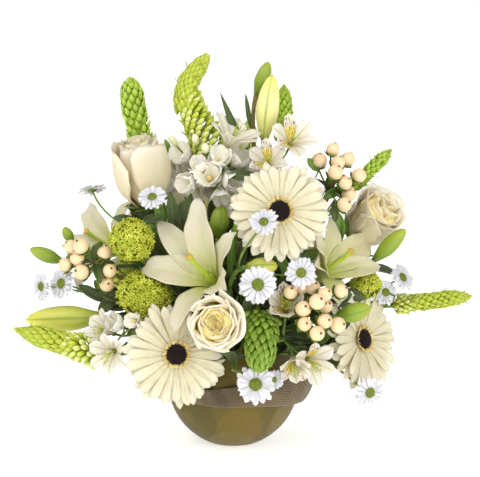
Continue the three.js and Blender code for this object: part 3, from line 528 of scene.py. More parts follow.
def petal_finish(name, along, shade, lines=0.0, depth=0.0002, variation=0.5, midrib=None, speckle=None, **steady):
    """A petal or leaf: colours along its length, fine lines along it, and patches of a shade colour.

    The midrib is (colour, half width as a share of the petal's, strength)."""
    finish = Finish(name, **{**THIN, **steady})
    shade = colour(shade)
    across, share = finish.uv()
    base = finish.ramp(share, colours(*along))
    patches = finish.noise(55) * 0.6 + finish.tint() * 0.6 - 0.2
    base = finish.mix(patches * variation, base, shade)
    height = finish.noise(420, 3)
    if midrib:
        rib = 1 - finish.step(abs(across - 0.5), 0.015, midrib[1])
        base = finish.mix(rib * midrib[2], base, colour(midrib[0]))
    if lines:
        fine = finish.noise(1, 2, finish.plane(across * lines, share * 2.5))
        height = height * 0.3 + fine
        base = finish.mix(finish.step(fine, 0.42, 0.62) * 0.28, base, shade)
    if speckle:
        base = speckle(finish, across, share, base)
    finish.out(base_color=base)
    finish.relief(height, depth)
    return finish.material


def streaks(finish, across, share, base):
    """A blush at the foot, and a yellow patch with short red-brown dashes on the upper part of a petal."""
    dashes = finish.noise(1.3, 0, finish.plane(across * 14, share * 5))
    base = finish.mix((1 - finish.step(share, 0.1, 0.5)) * finish.tint() * 0.7, base, colour(0xE6A878))
    zone = finish.step(share, 0.12, 0.3) * (1 - finish.step(share, 0.52, 0.7))
    inner = finish.step(finish.tint(), 0.7, 0.72)
    base = finish.mix(zone * inner * 0.85, base, colour(0xECD232))
    zone = finish.step(share, 0.22, 0.34) * (1 - finish.step(share, 0.84, 0.94))
    return finish.mix(finish.step(dashes, 0.61, 0.64) * zone * inner, base, colour(0x6A2A16))


def leaf_veins(finish, across, share, base):
    """Side veins that run forward from the midrib."""
    slant = share * 9 - abs(across - 0.5) * 5
    vein = 1 - finish.step(abs(slant.maths("FRACT") - 0.5), 0.02, 0.09)
    return finish.mix(vein * 0.35, base, colour(0x8BA85A))


def lobed_lines(finish, across, share, base):
    """Darker lines along the seams of a closed bud."""
    seam = 1 - finish.step(abs((across * 3).maths("FRACT") - 0.5), 0.01, 0.1)
    return finish.mix(seam * 0.55, base, colour(0x5F8A1E))


def heart_warmth(finish, across, share, base):
    """Inner petals are warmer, and each is deeper in colour towards its foot."""
    base = finish.mix((1 - finish.tint()) * 0.6, base, colour(0xFFEEA8))
    return finish.mix((1 - finish.tint()) * (1 - finish.step(share, 0.5, 1)) * 0.65, base, colour(0xFFE692))


def green_flush(finish, across, share, base):
    """A green flush over the lower part of the tepals that have a high tint."""
    flush = finish.step(finish.tint(), 0.7, 0.8) * (1 - finish.step(share, 0.35, 1) * 0.7)
    return finish.mix(flush * 0.5, base, colour(0xD2D868))


def berry_dot(finish, across, share, base):
    """The dry dark tip of a berry."""
    base = finish.mix((1 - finish.step(share, 0.05, 0.3)) * 0.5, base, colour(0xC9B45A))
    return finish.mix(finish.step(share, 0.955, 0.965), base, colour(0x6B4A22))


def lustre_glass():
    """Gold and olive lustre with a fine grain, and large soft overlapping ovals of lighter gold that are painted
    reflections.
    """
    finish = Finish("lustre_glass", roughness=0.5, metallic=0.12, coat_weight=0.03, coat_roughness=0.3)
    finish.feed(finish.shader, {"Specular IOR Level": 0.14})
    base = finish.ramp(finish.noise(14), colours((0.3, 0x5C5228), (0.7, 0x6E6234)))
    # Painted reflections: large soft ovals of lighter gold, spread over the glass
    for offset, stretch, tone in ((0.0, 0.75, 0x866F36), (0.37, 0.6, 0x82774A), (0.71, 0.9, 0x786632)):
        move = (offset, offset * 0.6, offset * 0.2)
        placed = finish.node(
            "ShaderNodeMapping", None, {"Vector": finish.place(), "Location": move, "Scale": (1, 1, stretch)})
        cell = finish.node("ShaderNodeTexVoronoi", None, {"Vector": placed, "Scale": 17.0, "Randomness": 0.45})
        painted_reflection = 1 - finish.step(cell, 0.4, 0.45)
        base = finish.mix(painted_reflection * 0.5, base, colour(tone))
    grain = finish.noise(620, 3)
    base = finish.mix(finish.step(grain, 0.35, 0.65) * 0.22, base, colour(0x3A3216))
    finish.out(base_color=base)
    finish.relief(grain, 0.00012, 0.6)
    return finish.material


def woven_mesh():
    """A fine taupe weave, its threads along and across the band."""
    finish = Finish("woven_mesh", roughness=0.85, sheen_weight=0.3)
    along, up = finish.uv()
    warp, weft = (along * 108.0 * tau).maths("SINE"), (up * 6.0 * tau).maths("SINE")
    threads = abs(warp).maths("MAXIMUM", abs(weft))
    weave = warp * weft * 0.5 + 0.5
    tone = finish.ramp(finish.noise(40, 3), colours((0.3, 0x675538), (0.7, 0x877250)))
    base = finish.mix(finish.step(threads, 0.5, 0.9) * 0.75 + weave * 0.25, colour(0x35291A), tone)
    finish.out(base_color=base)
    finish.relief(threads + weave * 0.5, 0.0007)
    return finish.material


def wet_foam():
    """Soaked foam with a fine grain."""
    finish = Finish("wet_foam", roughness=0.95)
    grain = finish.noise(700, 4)
    finish.out(base_color=finish.ramp(grain, colours((0.35, 0x16301A), (0.65, 0x2F5A2C))))
    finish.relief(grain, 0.0006)
    return finish.material


def plain_growth(name, low, high, scale, depth=0.0003, **steady):
    """A stem, twig or other small part in two mixed colours."""
    finish = Finish(name, **{"roughness": 0.5, **steady})
    grain = finish.noise(scale, 3)
    mixed = grain * 0.7 + finish.tint() * 0.3
    finish.out(base_color=finish.ramp(mixed, colours((0.3, low), (0.7, high))))
    finish.relief(grain, depth)
    return finish.material


CLOSED_BUD = dict(lines=26, depth=0.0004, variation=0.25, speckle=lobed_lines, roughness=0.42)

# Petals, leaves and buds: the colours along them, the colour of their patches, and what is their own
PETAL_FINISHES = {
    "gerbera_ray": (((0, 0xE2D598), (0.15, 0xEEE2B8), (0.6, 0xF2E9C4), (1, 0xF5EDD2)), 0xDDCE9C,
        dict(lines=26, depth=0.0006, variation=0.3)),
    "lily_tepal": (((0, 0x98A92C), (0.22, 0xBAC062), (0.48, 0xCEC8A4), (1, 0xDAD1BE)), 0xC0B494,
        dict(lines=22, depth=0.0005, variation=0.3, midrib=(0xC9D08A, 0.05, 0.55), speckle=green_flush,
             roughness=0.42)),
    "lily_bud": (((0, 0x86962A), (0.25, 0xB2BC40), (0.7, 0xD0CE58), (1, 0xDEDA48)), 0xC8C66A, CLOSED_BUD),
    "green_bud": (((0, 0x56701A), (0.4, 0x829C22), (1, 0xA4B032)), 0x8C9E2E, CLOSED_BUD),
    "cream_bud": (((0, 0x9FB044), (0.2, 0xD8D67C), (0.6, 0xF4EEA8), (0.9, 0xF6EE7A), (1, 0xE2DC50)), 0xE0DA84,
        CLOSED_BUD),
    "rose_petal": (((0, 0xD2C082), (0.35, 0xF0E0B4), (0.8, 0xF6EBD0), (1, 0xFBF4E4)), 0xEBDAAC,
        dict(lines=14, variation=0.3, speckle=heart_warmth, subsurface_scale=0.006)),
    "spike_bud": (((0, 0x8CAA22), (0.45, 0xAAC834), (0.85, 0xC6DA52), (1, 0xDCE878)), 0x6E9020,
        dict(lines=6, depth=0.0003, variation=0.6)),
    "lime_bud": (((0, 0x8E9E1C), (0.45, 0xB2BE2C), (0.85, 0xCED650), (1, 0xE2E484)), 0x94A426,
        dict(lines=6, depth=0.0003, variation=0.5)),
    "bract": (((0, 0x8FA42C), (0.6, 0x9AAE34), (1, 0x4A4A20)), 0x7E9426, {}),
    "pale_bud": (((0, 0xA0B034), (0.5, 0xCCD45C), (1, 0xF0F1B8)), 0xB0BC42, dict(lines=6, variation=0.5)),
    "white_cup": (((0, 0xD8DCA0), (0.2, 0xFFFBE8), (1, 0xFFFEF6)), 0xFBF2DC,
        dict(lines=9, variation=0.2, subsurface_weight=0.3)),
    "cream_cup_bud": (((0, 0xB4BC5A), (0.35, 0xDCDCA8), (1, 0xEEEAD0)), 0xD2D09A, dict(lines=9, variation=0.3)),
    "green_scale": (((0, 0x66861A), (0.45, 0x80A02A), (0.85, 0x9CB93E), (1, 0xB4CC58)), 0x527416,
        dict(lines=6, depth=0.0003, variation=0.6)),
    "berry": (((0, 0xEFD8A8), (0.5, 0xF6DCB4), (1, 0xF2CFA0)), 0xEAC498,
        dict(depth=0.0001, variation=0.4, speckle=berry_dot, roughness=0.28, coat_weight=0.3)),
    "daisy_ray": (((0, 0xE4E8C8), (0.25, 0xF8F6FA), (1, 0xFFFFFF)), 0xDAD0DC,
        dict(lines=12, depth=0.0005, variation=0.4)),
    "alstroemeria_petal": (((0, 0xC4C370), (0.3, 0xE4DDC6), (1, 0xECE4D8)), 0xD2C4AE,
        dict(lines=18, depth=0.0003, variation=0.3, midrib=(0x9AB03A, 0.09, 0.55), speckle=streaks)),
    "dark_leaf": (((0, 0x323E10), (0.5, 0x3E5014), (1, 0x4E641C)), 0x1C260A,
        dict(lines=10, depth=0.0004, variation=0.8, midrib=(0x647C34, 0.03, 0.7), speckle=leaf_veins,
             roughness=0.5, subsurface_weight=0.1)),
    "fresh_leaf": (((0, 0x567A1C), (0.5, 0x688F24), (1, 0x86A834)), 0x466618,
        dict(lines=16, depth=0.0004, variation=0.6, midrib=(0x9CBE5A, 0.03, 0.6), roughness=0.4,
             subsurface_weight=0.1)),
}

# Stems and other small parts: two mixed colours, the fineness of the grain, and what is their own
PLAIN_FINISHES = {
    "gerbera_disc": (0x120607, 0x301518, 900, dict(roughness=0.8)),
    "anther": (0xC89A30, 0xFFF2A8, 1200, dict(roughness=0.7)),
    "rose_heart": (0xFAD880, 0xFFF0B8, 90, dict(depth=0.0004, subsurface_weight=0.3, subsurface_scale=0.006)),
    "lime_floret": (0xA4B01C, 0xE0E052, 300, dict(depth=0.0002, roughness=0.6)),
    "lime_heart": (0x788E16, 0xAEC02A, 300, dict(depth=0.0002, roughness=0.7)),
    "daisy_eye": (0x54690E, 0x98A628, 700, dict(roughness=0.6)),
    "stem": (0x4C6A22, 0x86A044, 120, {}),
    "brown_stem": (0x5E5226, 0x8F7A3C, 120, {}),
    "pistil": (0x9CB82C, 0xC9D650, 120, dict(depth=0.0002, roughness=0.4)),
    "stigma": (0xA98A1E, 0xD6B13C, 500, dict(roughness=0.5)),
}

OTHER_FINISHES = {"lustre_glass": lustre_glass, "woven_mesh": woven_mesh, "wet_foam": wet_foam}
made_finishes = {}


def finish_named(name):
    """The material of a name, made when it is first asked for."""
    if name not in made_finishes:
        if name in PETAL_FINISHES:
            along, shade, own = PETAL_FINISHES[name]
            made_finishes[name] = petal_finish(name, along, shade, **own)
        elif name in PLAIN_FINISHES:
            low, high, scale, own = PLAIN_FINISHES[name]
            made_finishes[name] = plain_growth(name, low, high, scale, **own)
        else:
            made_finishes[name] = OTHER_FINISHES[name]()
    return made_finishes[name]


# The arrangement: where each flower head stands and which way it faces

GERBERAS = {
    "gerbera_left": dict(at=(-50, -104, 105), turn=10, rise=12, roll=20.5, size=50, reflex=8,
                         entry=(-26, 32), reach=25),
    "gerbera_top": dict(at=(41, -92, 231), turn=0, rise=15, size=47, entry=(26, 52), reach=45),
    "gerbera_right": dict(at=(119, -42, 106), turn=49, rise=14, size=50, cup=5, entry=(74, 32), reach=30),
    "gerbera_back": dict(at=(60, 95, 165), turn=165, rise=15, size=46, entry=(150, 42), reach=35),
}

# Tepals are (angle, lift, curl, share of the size). Buds are (foot, tip, radius, fork, finish), and a fork is
# a point or a share of the stem's length
LILIES = {
    "lily_centre": dict(
        at=(-14, -74, 162), turn=-39, rise=35, size=82, entry=(-12, 48), reach=30,
        tepals=((104, 70, -59, 1), (148, 63, -62, 1.03), (188, 65, -71, 0.9), (268, 62, -72, 0.85),
                (336, 66, -55, 0.68), (48, 68, -51, 0.78)),
        buds=(((-14, -40, 199), (-11, -40, 231), 8.5, 0.7, "green_bud"),
              ((3, -50, 198), (6, -50, 221), 5, 0.7, "green_bud"),
              ((11, -92, 181), (40, -90, 182), 8, 0.78, "lily_bud"))),
    "lily_right": dict(
        at=(76, -50, 166), turn=54, rise=32, size=76, entry=(52, 50), reach=30, tint=0.75,
        tepals=((14, 59, -72, 1), (64, 66, -69, 0.78), (146, 71, -56, 0.77), (178, 68, -57, 0.75),
                (270, 55, -90, 0.48), (345, 65, -68, 0.89)),
        buds=(((130, -22, 176), (157, -46, 209), 7.5, 0.62, "green_bud"),
              ((92, -79, 134), (124, -82, 143), 8.4, 0.9, "green_bud"))),
    "lily_left": dict(
        at=(-105, -12, 181), turn=-60, rise=30, size=70, entry=(-75, 50), reach=30,
        tepals=((149, 60, -72, 1), (193, 63, -67, 1), (261, 58, -75, 0.8), (321, 58, -75, 0.44),
                (30, 58, -110, 0.6), (81, 62, -84, 0.82)),
        buds=(((-159, -14, 174), (-190, -12, 186), 6.6, 0.85, "green_bud"),
              ((-150, -14, 192), (-158, -8, 206), 5, (-158, -13.8, 174), "green_bud"))),
    "lily_back": dict(
        at=(-20, 60, 200), turn=195, rise=30, size=66, entry=(190, 62), reach=35,
        tepals=tuple((angle % 360, 62, -88, 1) for angle in range(90, 450, 60)), buds=()),
}

BUD_STEMS = {
    "lily_bud_stem_top": dict(
        fork=(22, 4, 262), entry=(100, 76), arrive=(0, 0, 1),
        buds=(((28, -12, 286), (36, -12, 348), 10.3, "cream_bud"),
              ((21, 12, 326), (33, 12, 359), 7, "green_bud"))),
    "lily_bud_stem_left": dict(
        fork=(-96, -34, 124), entry=(-62, 34), arrive=(-1, -0.1, 0.1),
        buds=(((-119, -34, 125), (-193, -30, 122), 11.7, "lily_bud"),)),
}

ROSES = {
    "rose_left": dict(at=(-79, -28, 229), turn=-45, rise=77, size=60, entry=(-70, 62), reach=45, open=0),
    "rose_front": dict(at=(-15, -105, 134), turn=0, rise=10, size=54, entry=(3, 37), reach=31, open=1),
    "rose_right": dict(at=(116, 16, 194), turn=40, rise=38, size=59, entry=(84, 46), reach=40, open=0.8),
    "rose_back": dict(at=(-42, 76, 114), turn=205, rise=14, size=50, entry=(208, 33), reach=25, open=0.8),
}

# A spike's own row holds what differs from this. Lengths of it are shares from its foot
USUAL_SPIKE = dict(
    loose=0.0,  # the length with plump buds on stalks
    bare=0,  # the length at the foot without buds
    few=0.6,  # plump buds for each closed one
    pale=0.9,  # how many of the plump buds are pale
    splay=1,  # how far the plump buds lean out
    fan=0,  # how far they spread to the right
    close=-26,  # the lean of the closed buds at the tip, in degrees
    broad=1,  # the size of the closed buds
    shade=0,  # the least tint of the closed buds
    bracts=1,  # the length of the bracts
    finish="spike_bud",
    cups=(), cup_buds=(),  # open cups and their buds, each (x, y, z, turn, rise, size)
)
SPIKES = {
    "spike_tall": dict(
        path=((-20, -18, 253), (-32, -12, 283), (-43, -8, 313), (-42, -6, 338), (-24, -6, 365)),
        width=27, tip=14, entry=(-52, 80), buds=150, loose=0.64, bare=0.13, fan=1.9, few=0.75, close=-6,
        bracts=1.6, finish="lime_bud",
        cups=((-46, -18, 272, -40, 45, 21), (-13, -42, 272, 10, 55, 19), (4, -30, 270, 50, 45, 20),
              (16, -26, 264, 70, 30, 17), (-22, -46, 257, -10, 30, 22), (-4, -44, 254, 40, -5, 18),
              (-40, -40, 250, -40, 5, 19), (-12, -42, 240, 20, -40, 17), (0, -38, 234, 50, -50, 15),
              (-55, -10, 247, -70, 0, 19), (-64, 2, 264, -80, 40, 17), (-30, -44, 265, -20, 50, 17),
              (-32, -14, 264, 10, 50, 17), (-5, -12, 262, 40, 20, 17), (-34, -24, 241, -10, -10, 16),
              (-8, -22, 246, 30, -20, 16), (-53, -8, 259, -50, 20, 16), (12, -8, 266, 60, 40, 15),
              (-20, -10, 241, 0, 0, 17), (-44, -4, 270, -20, 40, 16), (-20, 8, 262, 150, 10, 13),
              (-42, 4, 262, -140, 10, 13), (2, 0, 258, 110, 0, 13)),
        cup_buds=((-25, -40, 277, 0, 50, 12), (-8, -25, 284, 30, 60, 13), (-33, -26, 283, -20, 60, 12),
                  (6, -24, 280, 50, 45, 13), (-52, -14, 282, -50, 50, 12), (14, -20, 274, 70, 30, 12))),
    "spike_left_top": dict(
        path=((-86, 4, 282), (-92, 5, 312), (-96, 6, 343)), width=25, tip=18, entry=(-104, 64), buds=84),
    "spike_right": dict(
        path=((150, 6, 129), (186, -8, 136), (221, -24, 143)), width=20, tip=10, entry=(98, 39), buds=105,
        loose=0.34, splay=0.5, finish="lime_bud"),
    "spike_left_low": dict(
        path=((-115, -62, 98), (-155, -62, 107), (-197, -62, 119)), width=27, tip=11, entry=(-50, 31), buds=105,
        loose=0.42, finish="lime_bud",
        cups=((-104, -74, 126, -50, 30, 17), (-89, -80, 131, -20, 10, 13), (-110, -70, 98, -60, -10, 15))),
    "spike_front": dict(
        path=((24, -72, 132), (25, -100, 122), (23, -124, 96)), width=34, tip=22, entry=(18, 40), buds=130,
        loose=0.2, few=0.14, splay=0.6, pale=0.1, broad=0.95, shade=0.25, finish="green_scale"),
    "spike_right_top": dict(
        path=((112, 10, 241), (131, 11, 259), (148, 12, 276)), width=16, tip=8, entry=(95, 56), buds=85),
    "spike_top": dict(
        path=((47, 30, 285), (48, 32, 310), (48, 34, 335)), width=20, tip=10, entry=(135, 68), buds=90),
    "spike_back": dict(
        path=((8, 66, 250), (12, 79, 274), (16, 90, 298)), width=24, tip=12, entry=(165, 66), buds=110, loose=0.2),
}

# Leaves at a fork are (direction, length)
HYPERICUMS = {
    "hypericum_top_right": dict(
        fork=(90, -26, 240), entry=(70, 62),
        berries=((92, -22, 280), (79, -26, 270), (106, -14, 270), (96, -34, 269), (93, -44, 261),
                 (116, -24, 256), (102, -42, 251), (106, -34, 240), (101, -50, 232)),
        leaves=(((1, -0.6, 0.1), 24), ((-0.6, -0.4, 0.8), 22), ((0.2, -1, 0.2), 20))),
    "hypericum_left": dict(
        fork=(-126, -46, 178), entry=(-72, 40),
        berries=((-148, -46, 193), (-138, -56, 195), (-142, -50, 183), (-154, -44, 176), (-138, -56, 171),
                 (-117, -50, 189), (-112, -54, 172), (-115, -50, 159)),
        leaves=(((-1, -0.4, 0.2), 20), ((0.2, -0.4, 1), 26), ((0.3, -0.8, -0.6), 24))),
    "hypericum_right": dict(
        fork=(70, -76, 140), entry=(38, 42),
        berries=((51, -98, 160), (61, -90, 164), (71, -92, 163), (81, -104, 159), (74, -112, 154),
                 (82, -94, 147), (96, -92, 160), (62, -108, 147), (81, -108, 136), (63, -112, 134),
                 (93, -100, 131), (74, -114, 126)),
        leaves=(((0.3, -1, -0.5), 22), ((-0.6, -1, 0.1), 20), ((1, -0.4, 0.5), 26))),
    "hypericum_back": dict(
        fork=(-90, 50, 188), entry=(228, 56),
        berries=((-98, 73, 207), (-110, 66, 201), (-88, 76, 198), (-102, 78, 190), (-114, 66, 187),
                 (-94, 60, 214)),
        leaves=(((-0.6, 1, -0.3), 22), ((0.4, 1, 0.2), 24))),
}

# Heads are (place, radii)
VIBURNUMS = {
    "viburnum_left": dict(fork=(-72, -46, 160), entry=(-45, 50),
                          heads=(((-91, -66, 202), (20, 18, 19)), ((-80, -62, 151), (25, 20, 22)))),
    "viburnum_right": dict(fork=(110, -22, 156), entry=(66, 40), heads=(((123, -32, 155), (14, 11, 12)),)),
    "viburnum_back": dict(fork=(-78, 44, 140), entry=(240, 42), heads=(((-98, 58, 150), (23, 23, 22)),)),
}

# Heads are (place, turn, rise, size), and a middle point of the twig where it goes round something
DAISIES = {
    "daisies_top_left": dict(fork=(-72, -44, 212), entry=(-50, 63), heads=(
        ((-72, -70, 241), -10, 45, 14), ((-132, 0, 240), -150, 66, 14, (-112, -50, 208)))),
    "daisies_left": dict(fork=(-140, -36, 150), entry=(-85, 36), heads=(
        ((-176, -40, 155), -48, 5, 14), ((-158, -36, 157), -40, 15, 16))),
    "daisies_centre": dict(fork=(8, -78, 176), entry=(10, 56), heads=(
        ((22, -112, 169), 0, 10, 18), ((60, -104, 178), -10, 20, 15),
        ((27, -112, 224), -10, 38, 14, (-2, -124, 191)))),
    "daisies_front": dict(fork=(0, -92, 88), entry=(14, 30), lead=50, heads=(
        ((20, -108, 79), 0, 4, 19), ((36, -103, 82), 15, 0, 10))),
    "daisy_right_low": dict(fork=(126, -50, 58), entry=(50, 30), reach=30, arrive=(0.85, -0.3, -0.45), heads=(
        ((124, -72, 63), 25, -5, 16),)),
    "daisies_right": dict(fork=(128, -6, 146), entry=(88, 34), heads=(
        ((158, -14, 159), 50, 30, 15), ((142, -20, 146), 20, 20, 13))),
    "daisies_back": dict(fork=(10, 82, 112), entry=(175, 34), heads=(
        ((36, 104, 106), 160, 5, 17), ((-6, 112, 92), 190, 0, 16), ((6, 104, 130), 180, 25, 14))),
}

# Heads are (place, turn, rise, size, how far they open, whether they are streaked)
ALSTROEMERIAS = {
    "alstroemeria_top": dict(
        fork=(28, -20, 250), entry=(36, 72),
        heads=(((53, -26, 286), 12, 35, 27, 1, True), ((-4, -31, 284), 50, 60, 32, 1, False),
               ((32, -40, 268), -5, 35, 24, 1, True)),
        leaves=(((-0.4, 0.05, 1), 103), ((-0.55, 0.25, 1), 76))),
    "alstroemeria_right_low": dict(
        fork=(46, -72, 112), entry=(32, 32),
        heads=(((47, -84, 141), 0, 35, 28, 0.6, True), ((68, -84, 96), 25, -5, 26, 1, True),
               ((54, -94, 97), 8, -32, 22, 0.7, True)),
        leaves=()),
    "alstroemeria_left_low": dict(
        fork=(-92, -56, 116), entry=(-48, 42),
        heads=(((-108, -78, 102), -25, 0, 24, 1, False), ((-112, -66, 118), -50, 25, 24, 0.7, False)), leaves=()),
}

LEAFY_STEMS = {
    "leafy_stem_left": dict(fork=(-56, 16, 188), entry=(-114, 50), leaves=(
        ((-1, -0.4, 0.8), 48), ((0.9, -0.3, 0.8), 45), ((-1, 0.7, 0.8), 60), ((0.2, 0.6, 1), 50))),
    "leafy_stem_right": dict(fork=(100, 30, 160), entry=(110, 46), leaves=(
        ((1, -0.5, 0.1), 70), ((0.8, 0.8, 0.3), 60), ((0.3, 1, 0.6), 50), ((0.6, 0.4, 1), 55))),
}

# Single leaves that show between the flowers: (start, direction, length, width), with the finish and outline
# where they are not those of a round dark leaf
SINGLE_LEAVES = (
    ((21, -52, 258), (-1, 0, 0.05), 25, 11), ((-56, -10, 270), (-0.4, 0, 1), 20, 6, "fresh_leaf"),
    ((-53, -45, 203), (-0.1, 0, 1), 40, 11), ((-44, -40, 204), (0.15, 0, 1), 38, 10),
    ((-62, -40, 208), (-0.3, 0, 1), 36, 10, "fresh_leaf"), ((-84, -52, 216), (-1, 0, 0.2), 25, 9),
    ((-84, -52, 216), (1, 0, 0.3), 22, 9), ((4, -62, 150), (0.15, 0, 1), 56, 8, "dark_leaf", LANCE),
    ((14, -60, 150), (0.3, 0, 1), 50, 8, "dark_leaf", LANCE),
    ((-2, -56, 160), (0.02, 0, 1), 52, 8, "fresh_leaf", LANCE), ((11, -80, 130), (0.1, 0, 1), 26, 9),
    ((40, -60, 190), (0.5, 0, -1), 30, 10, "fresh_leaf"), ((92, -46, 236), (0.05, -0.1, -1), 21, 8),
    ((-68, -20, 217), (-0.94, 0, 0.34), 33, 13), ((-85, -16, 213), (-0.5, 0, 0.87), 18, 11),
    ((45, -54, 111), (0.93, 0, -0.38), 20, 10), ((61, -50, 95), (0.93, 0, 0.37), 18, 9),
    ((-140, -30, 175), (0.71, 0, 0.71), 18, 10, "fresh_leaf"), ((-7, -30, 204), (0.44, 0, 0.9), 17, 9),
    ((48, -52, 114), (0.96, 0, -0.28), 27, 14), ((65, -46, 101), (0.96, 0, 0.28), 27, 13),
    ((80, -44, 106), (0.89, 0, -0.45), 25, 13), ((50, -50, 94), (0.91, 0, 0.42), 20, 11),
    ((102, -40, 152), (0.89, 0, -0.45), 21, 11), ((-117, -36, 140), (-0.85, 0, 0.53), 30, 10),
    ((-106, -40, 146), (-0.78, 0, -0.63), 24, 12), ((88, -58, 131), (0.89, 0, 0.45), 24, 12),
    ((90, -54, 143), (0.93, 0, 0.38), 20, 11), ((92, -64, 123), (0.97, 0, 0.25), 15, 11),
    ((97, -26, 191), (0.05, 0, 1), 30, 11, "fresh_leaf"), ((128, -40, 146), (-0.29, 0, 0.96), 19, 9),
    ((61, -60, 181), (0.83, 0, 0.56), 20, 10, "fresh_leaf"), ((81, -60, 98), (0.82, 0, -0.58), 22, 10),
    ((-95, -38, 136), (-0.99, 0, 0.14), 26, 13), ((-98, -44, 143), (-0.95, 0, 0.31), 27, 12),
    ((-97, -34, 130), (-0.74, 0, -0.67), 25, 12), ((-77, -40, 114), (-0.99, 0, -0.17), 22, 12),
    ((-71, -26, 176), (-0.33, 0, 0.94), 22, 12), ((-60, -30, 176), (-0.47, 0, 0.89), 27, 14),
    ((-56, -34, 188), (-0.44, 0, 0.9), 25, 12), ((-74, -50, 144), (-0.97, 0, -0.23), 24, 14),
    ((-76, -30, 213), (-0.48, 0, 0.88), 19, 12), ((4, -60, 181), (0.31, 0, 0.95), 23, 10),
    ((-112, -34, 145), (-0.74, 0, 0.67), 22, 12, "fresh_leaf"), ((-31, -2, 244), (0.55, 0, 0.83), 20, 12),
    ((-35, -2, 234), (-0.51, 0, 0.86), 22, 12), ((135, -20, 139), (0.98, 0, 0.22), 17, 9),
    ((82, -30, 235), (0.88, 0, 0.48), 23, 9, "fresh_leaf"), ((86, -24, 237), (0.23, 0, 0.97), 23, 9),
    ((78, -30, 260), (-0.62, 0, 0.78), 16, 8, "fresh_leaf"), ((89, -24, 250), (0.94, 0, 0.35), 16, 8),
    ((109, 2, 190), (-0.14, 0, 0.99), 28, 5, "fresh_leaf", LANCE), ((-97, -40, 142), (-0.92, 0, 0.4), 28, 13),
    ((-93, -40, 122), (-0.99, 0, 0.14), 26, 13), ((-106, -30, 169), (-0.94, 0, 0.35), 22, 12),
    ((89, -50, 116), (0.76, 0, -0.65), 32, 11), ((61, -60, 146), (0.97, 0, 0.26), 28, 12),
    ((77, -60, 104), (0.56, 0, 0.83), 26, 11, "fresh_leaf"), ((-60, -30, 237), (-0.91, 0, -0.41), 22, 11),
    ((16, -10, 298), (-0.14, 0, 0.99), 33, 5, "dark_leaf", LANCE),
    ((-7, -14, 288), (0.04, 0, 1), 26, 4, "fresh_leaf", LANCE),
)


# Sizes and colours


class CenterpieceSizes(PropertyGroup):
    """What a florist would change in the flowers' make."""

    gerbera_rays: IntProperty(
        name="Gerbera petals", description="Petals in each long layer of a gerbera", default=24, min=9, max=30)
    rose_petals: IntProperty(
        name="Rose petals", description="Petals of each rose", default=22, min=10, max=60)
    viburnum_florets: IntProperty(
        name="Viburnum florets", description="Tiny florets on a large viburnum head", default=270, min=60,
        max=500)
    daisy_rays: IntProperty(
        name="Daisy rays", description="Rays in each layer of a spray daisy", default=15, min=8, max=24)
    sprigs: IntProperty(
        name="Green sprigs", description="Leafy sprigs that fill the inside of the arrangement", default=34, min=0,
        max=60)
    camera_distance: FloatProperty(
        name="Camera distance", description="From the camera to the middle of the arrangement", default=1.5,
        unit="LENGTH")


class CenterpieceLight(PropertyGroup):
    """The stage's own light and floor."""

    floor: FloatVectorProperty(
        name="Floor", description="Colour of the floor", default=(0.92, 0.92, 0.92), subtype="COLOR", size=3)
    sky: FloatVectorProperty(
        name="Surroundings", description="Colour of the light from all round", default=(1.0, 1.0, 1.0),
        subtype="COLOR", size=3)
    surroundings: FloatProperty(
        name="Surrounding light", description="Strength of the light from all round", default=0.72, min=0)
    key_power: FloatProperty(
        name="Key light", description="Power of the large light at the upper left", default=17.0, unit="POWER")
    fill_power: FloatProperty(
        name="Fill light", description="Power of the light at the front", default=10.0, unit="POWER")


# Operators


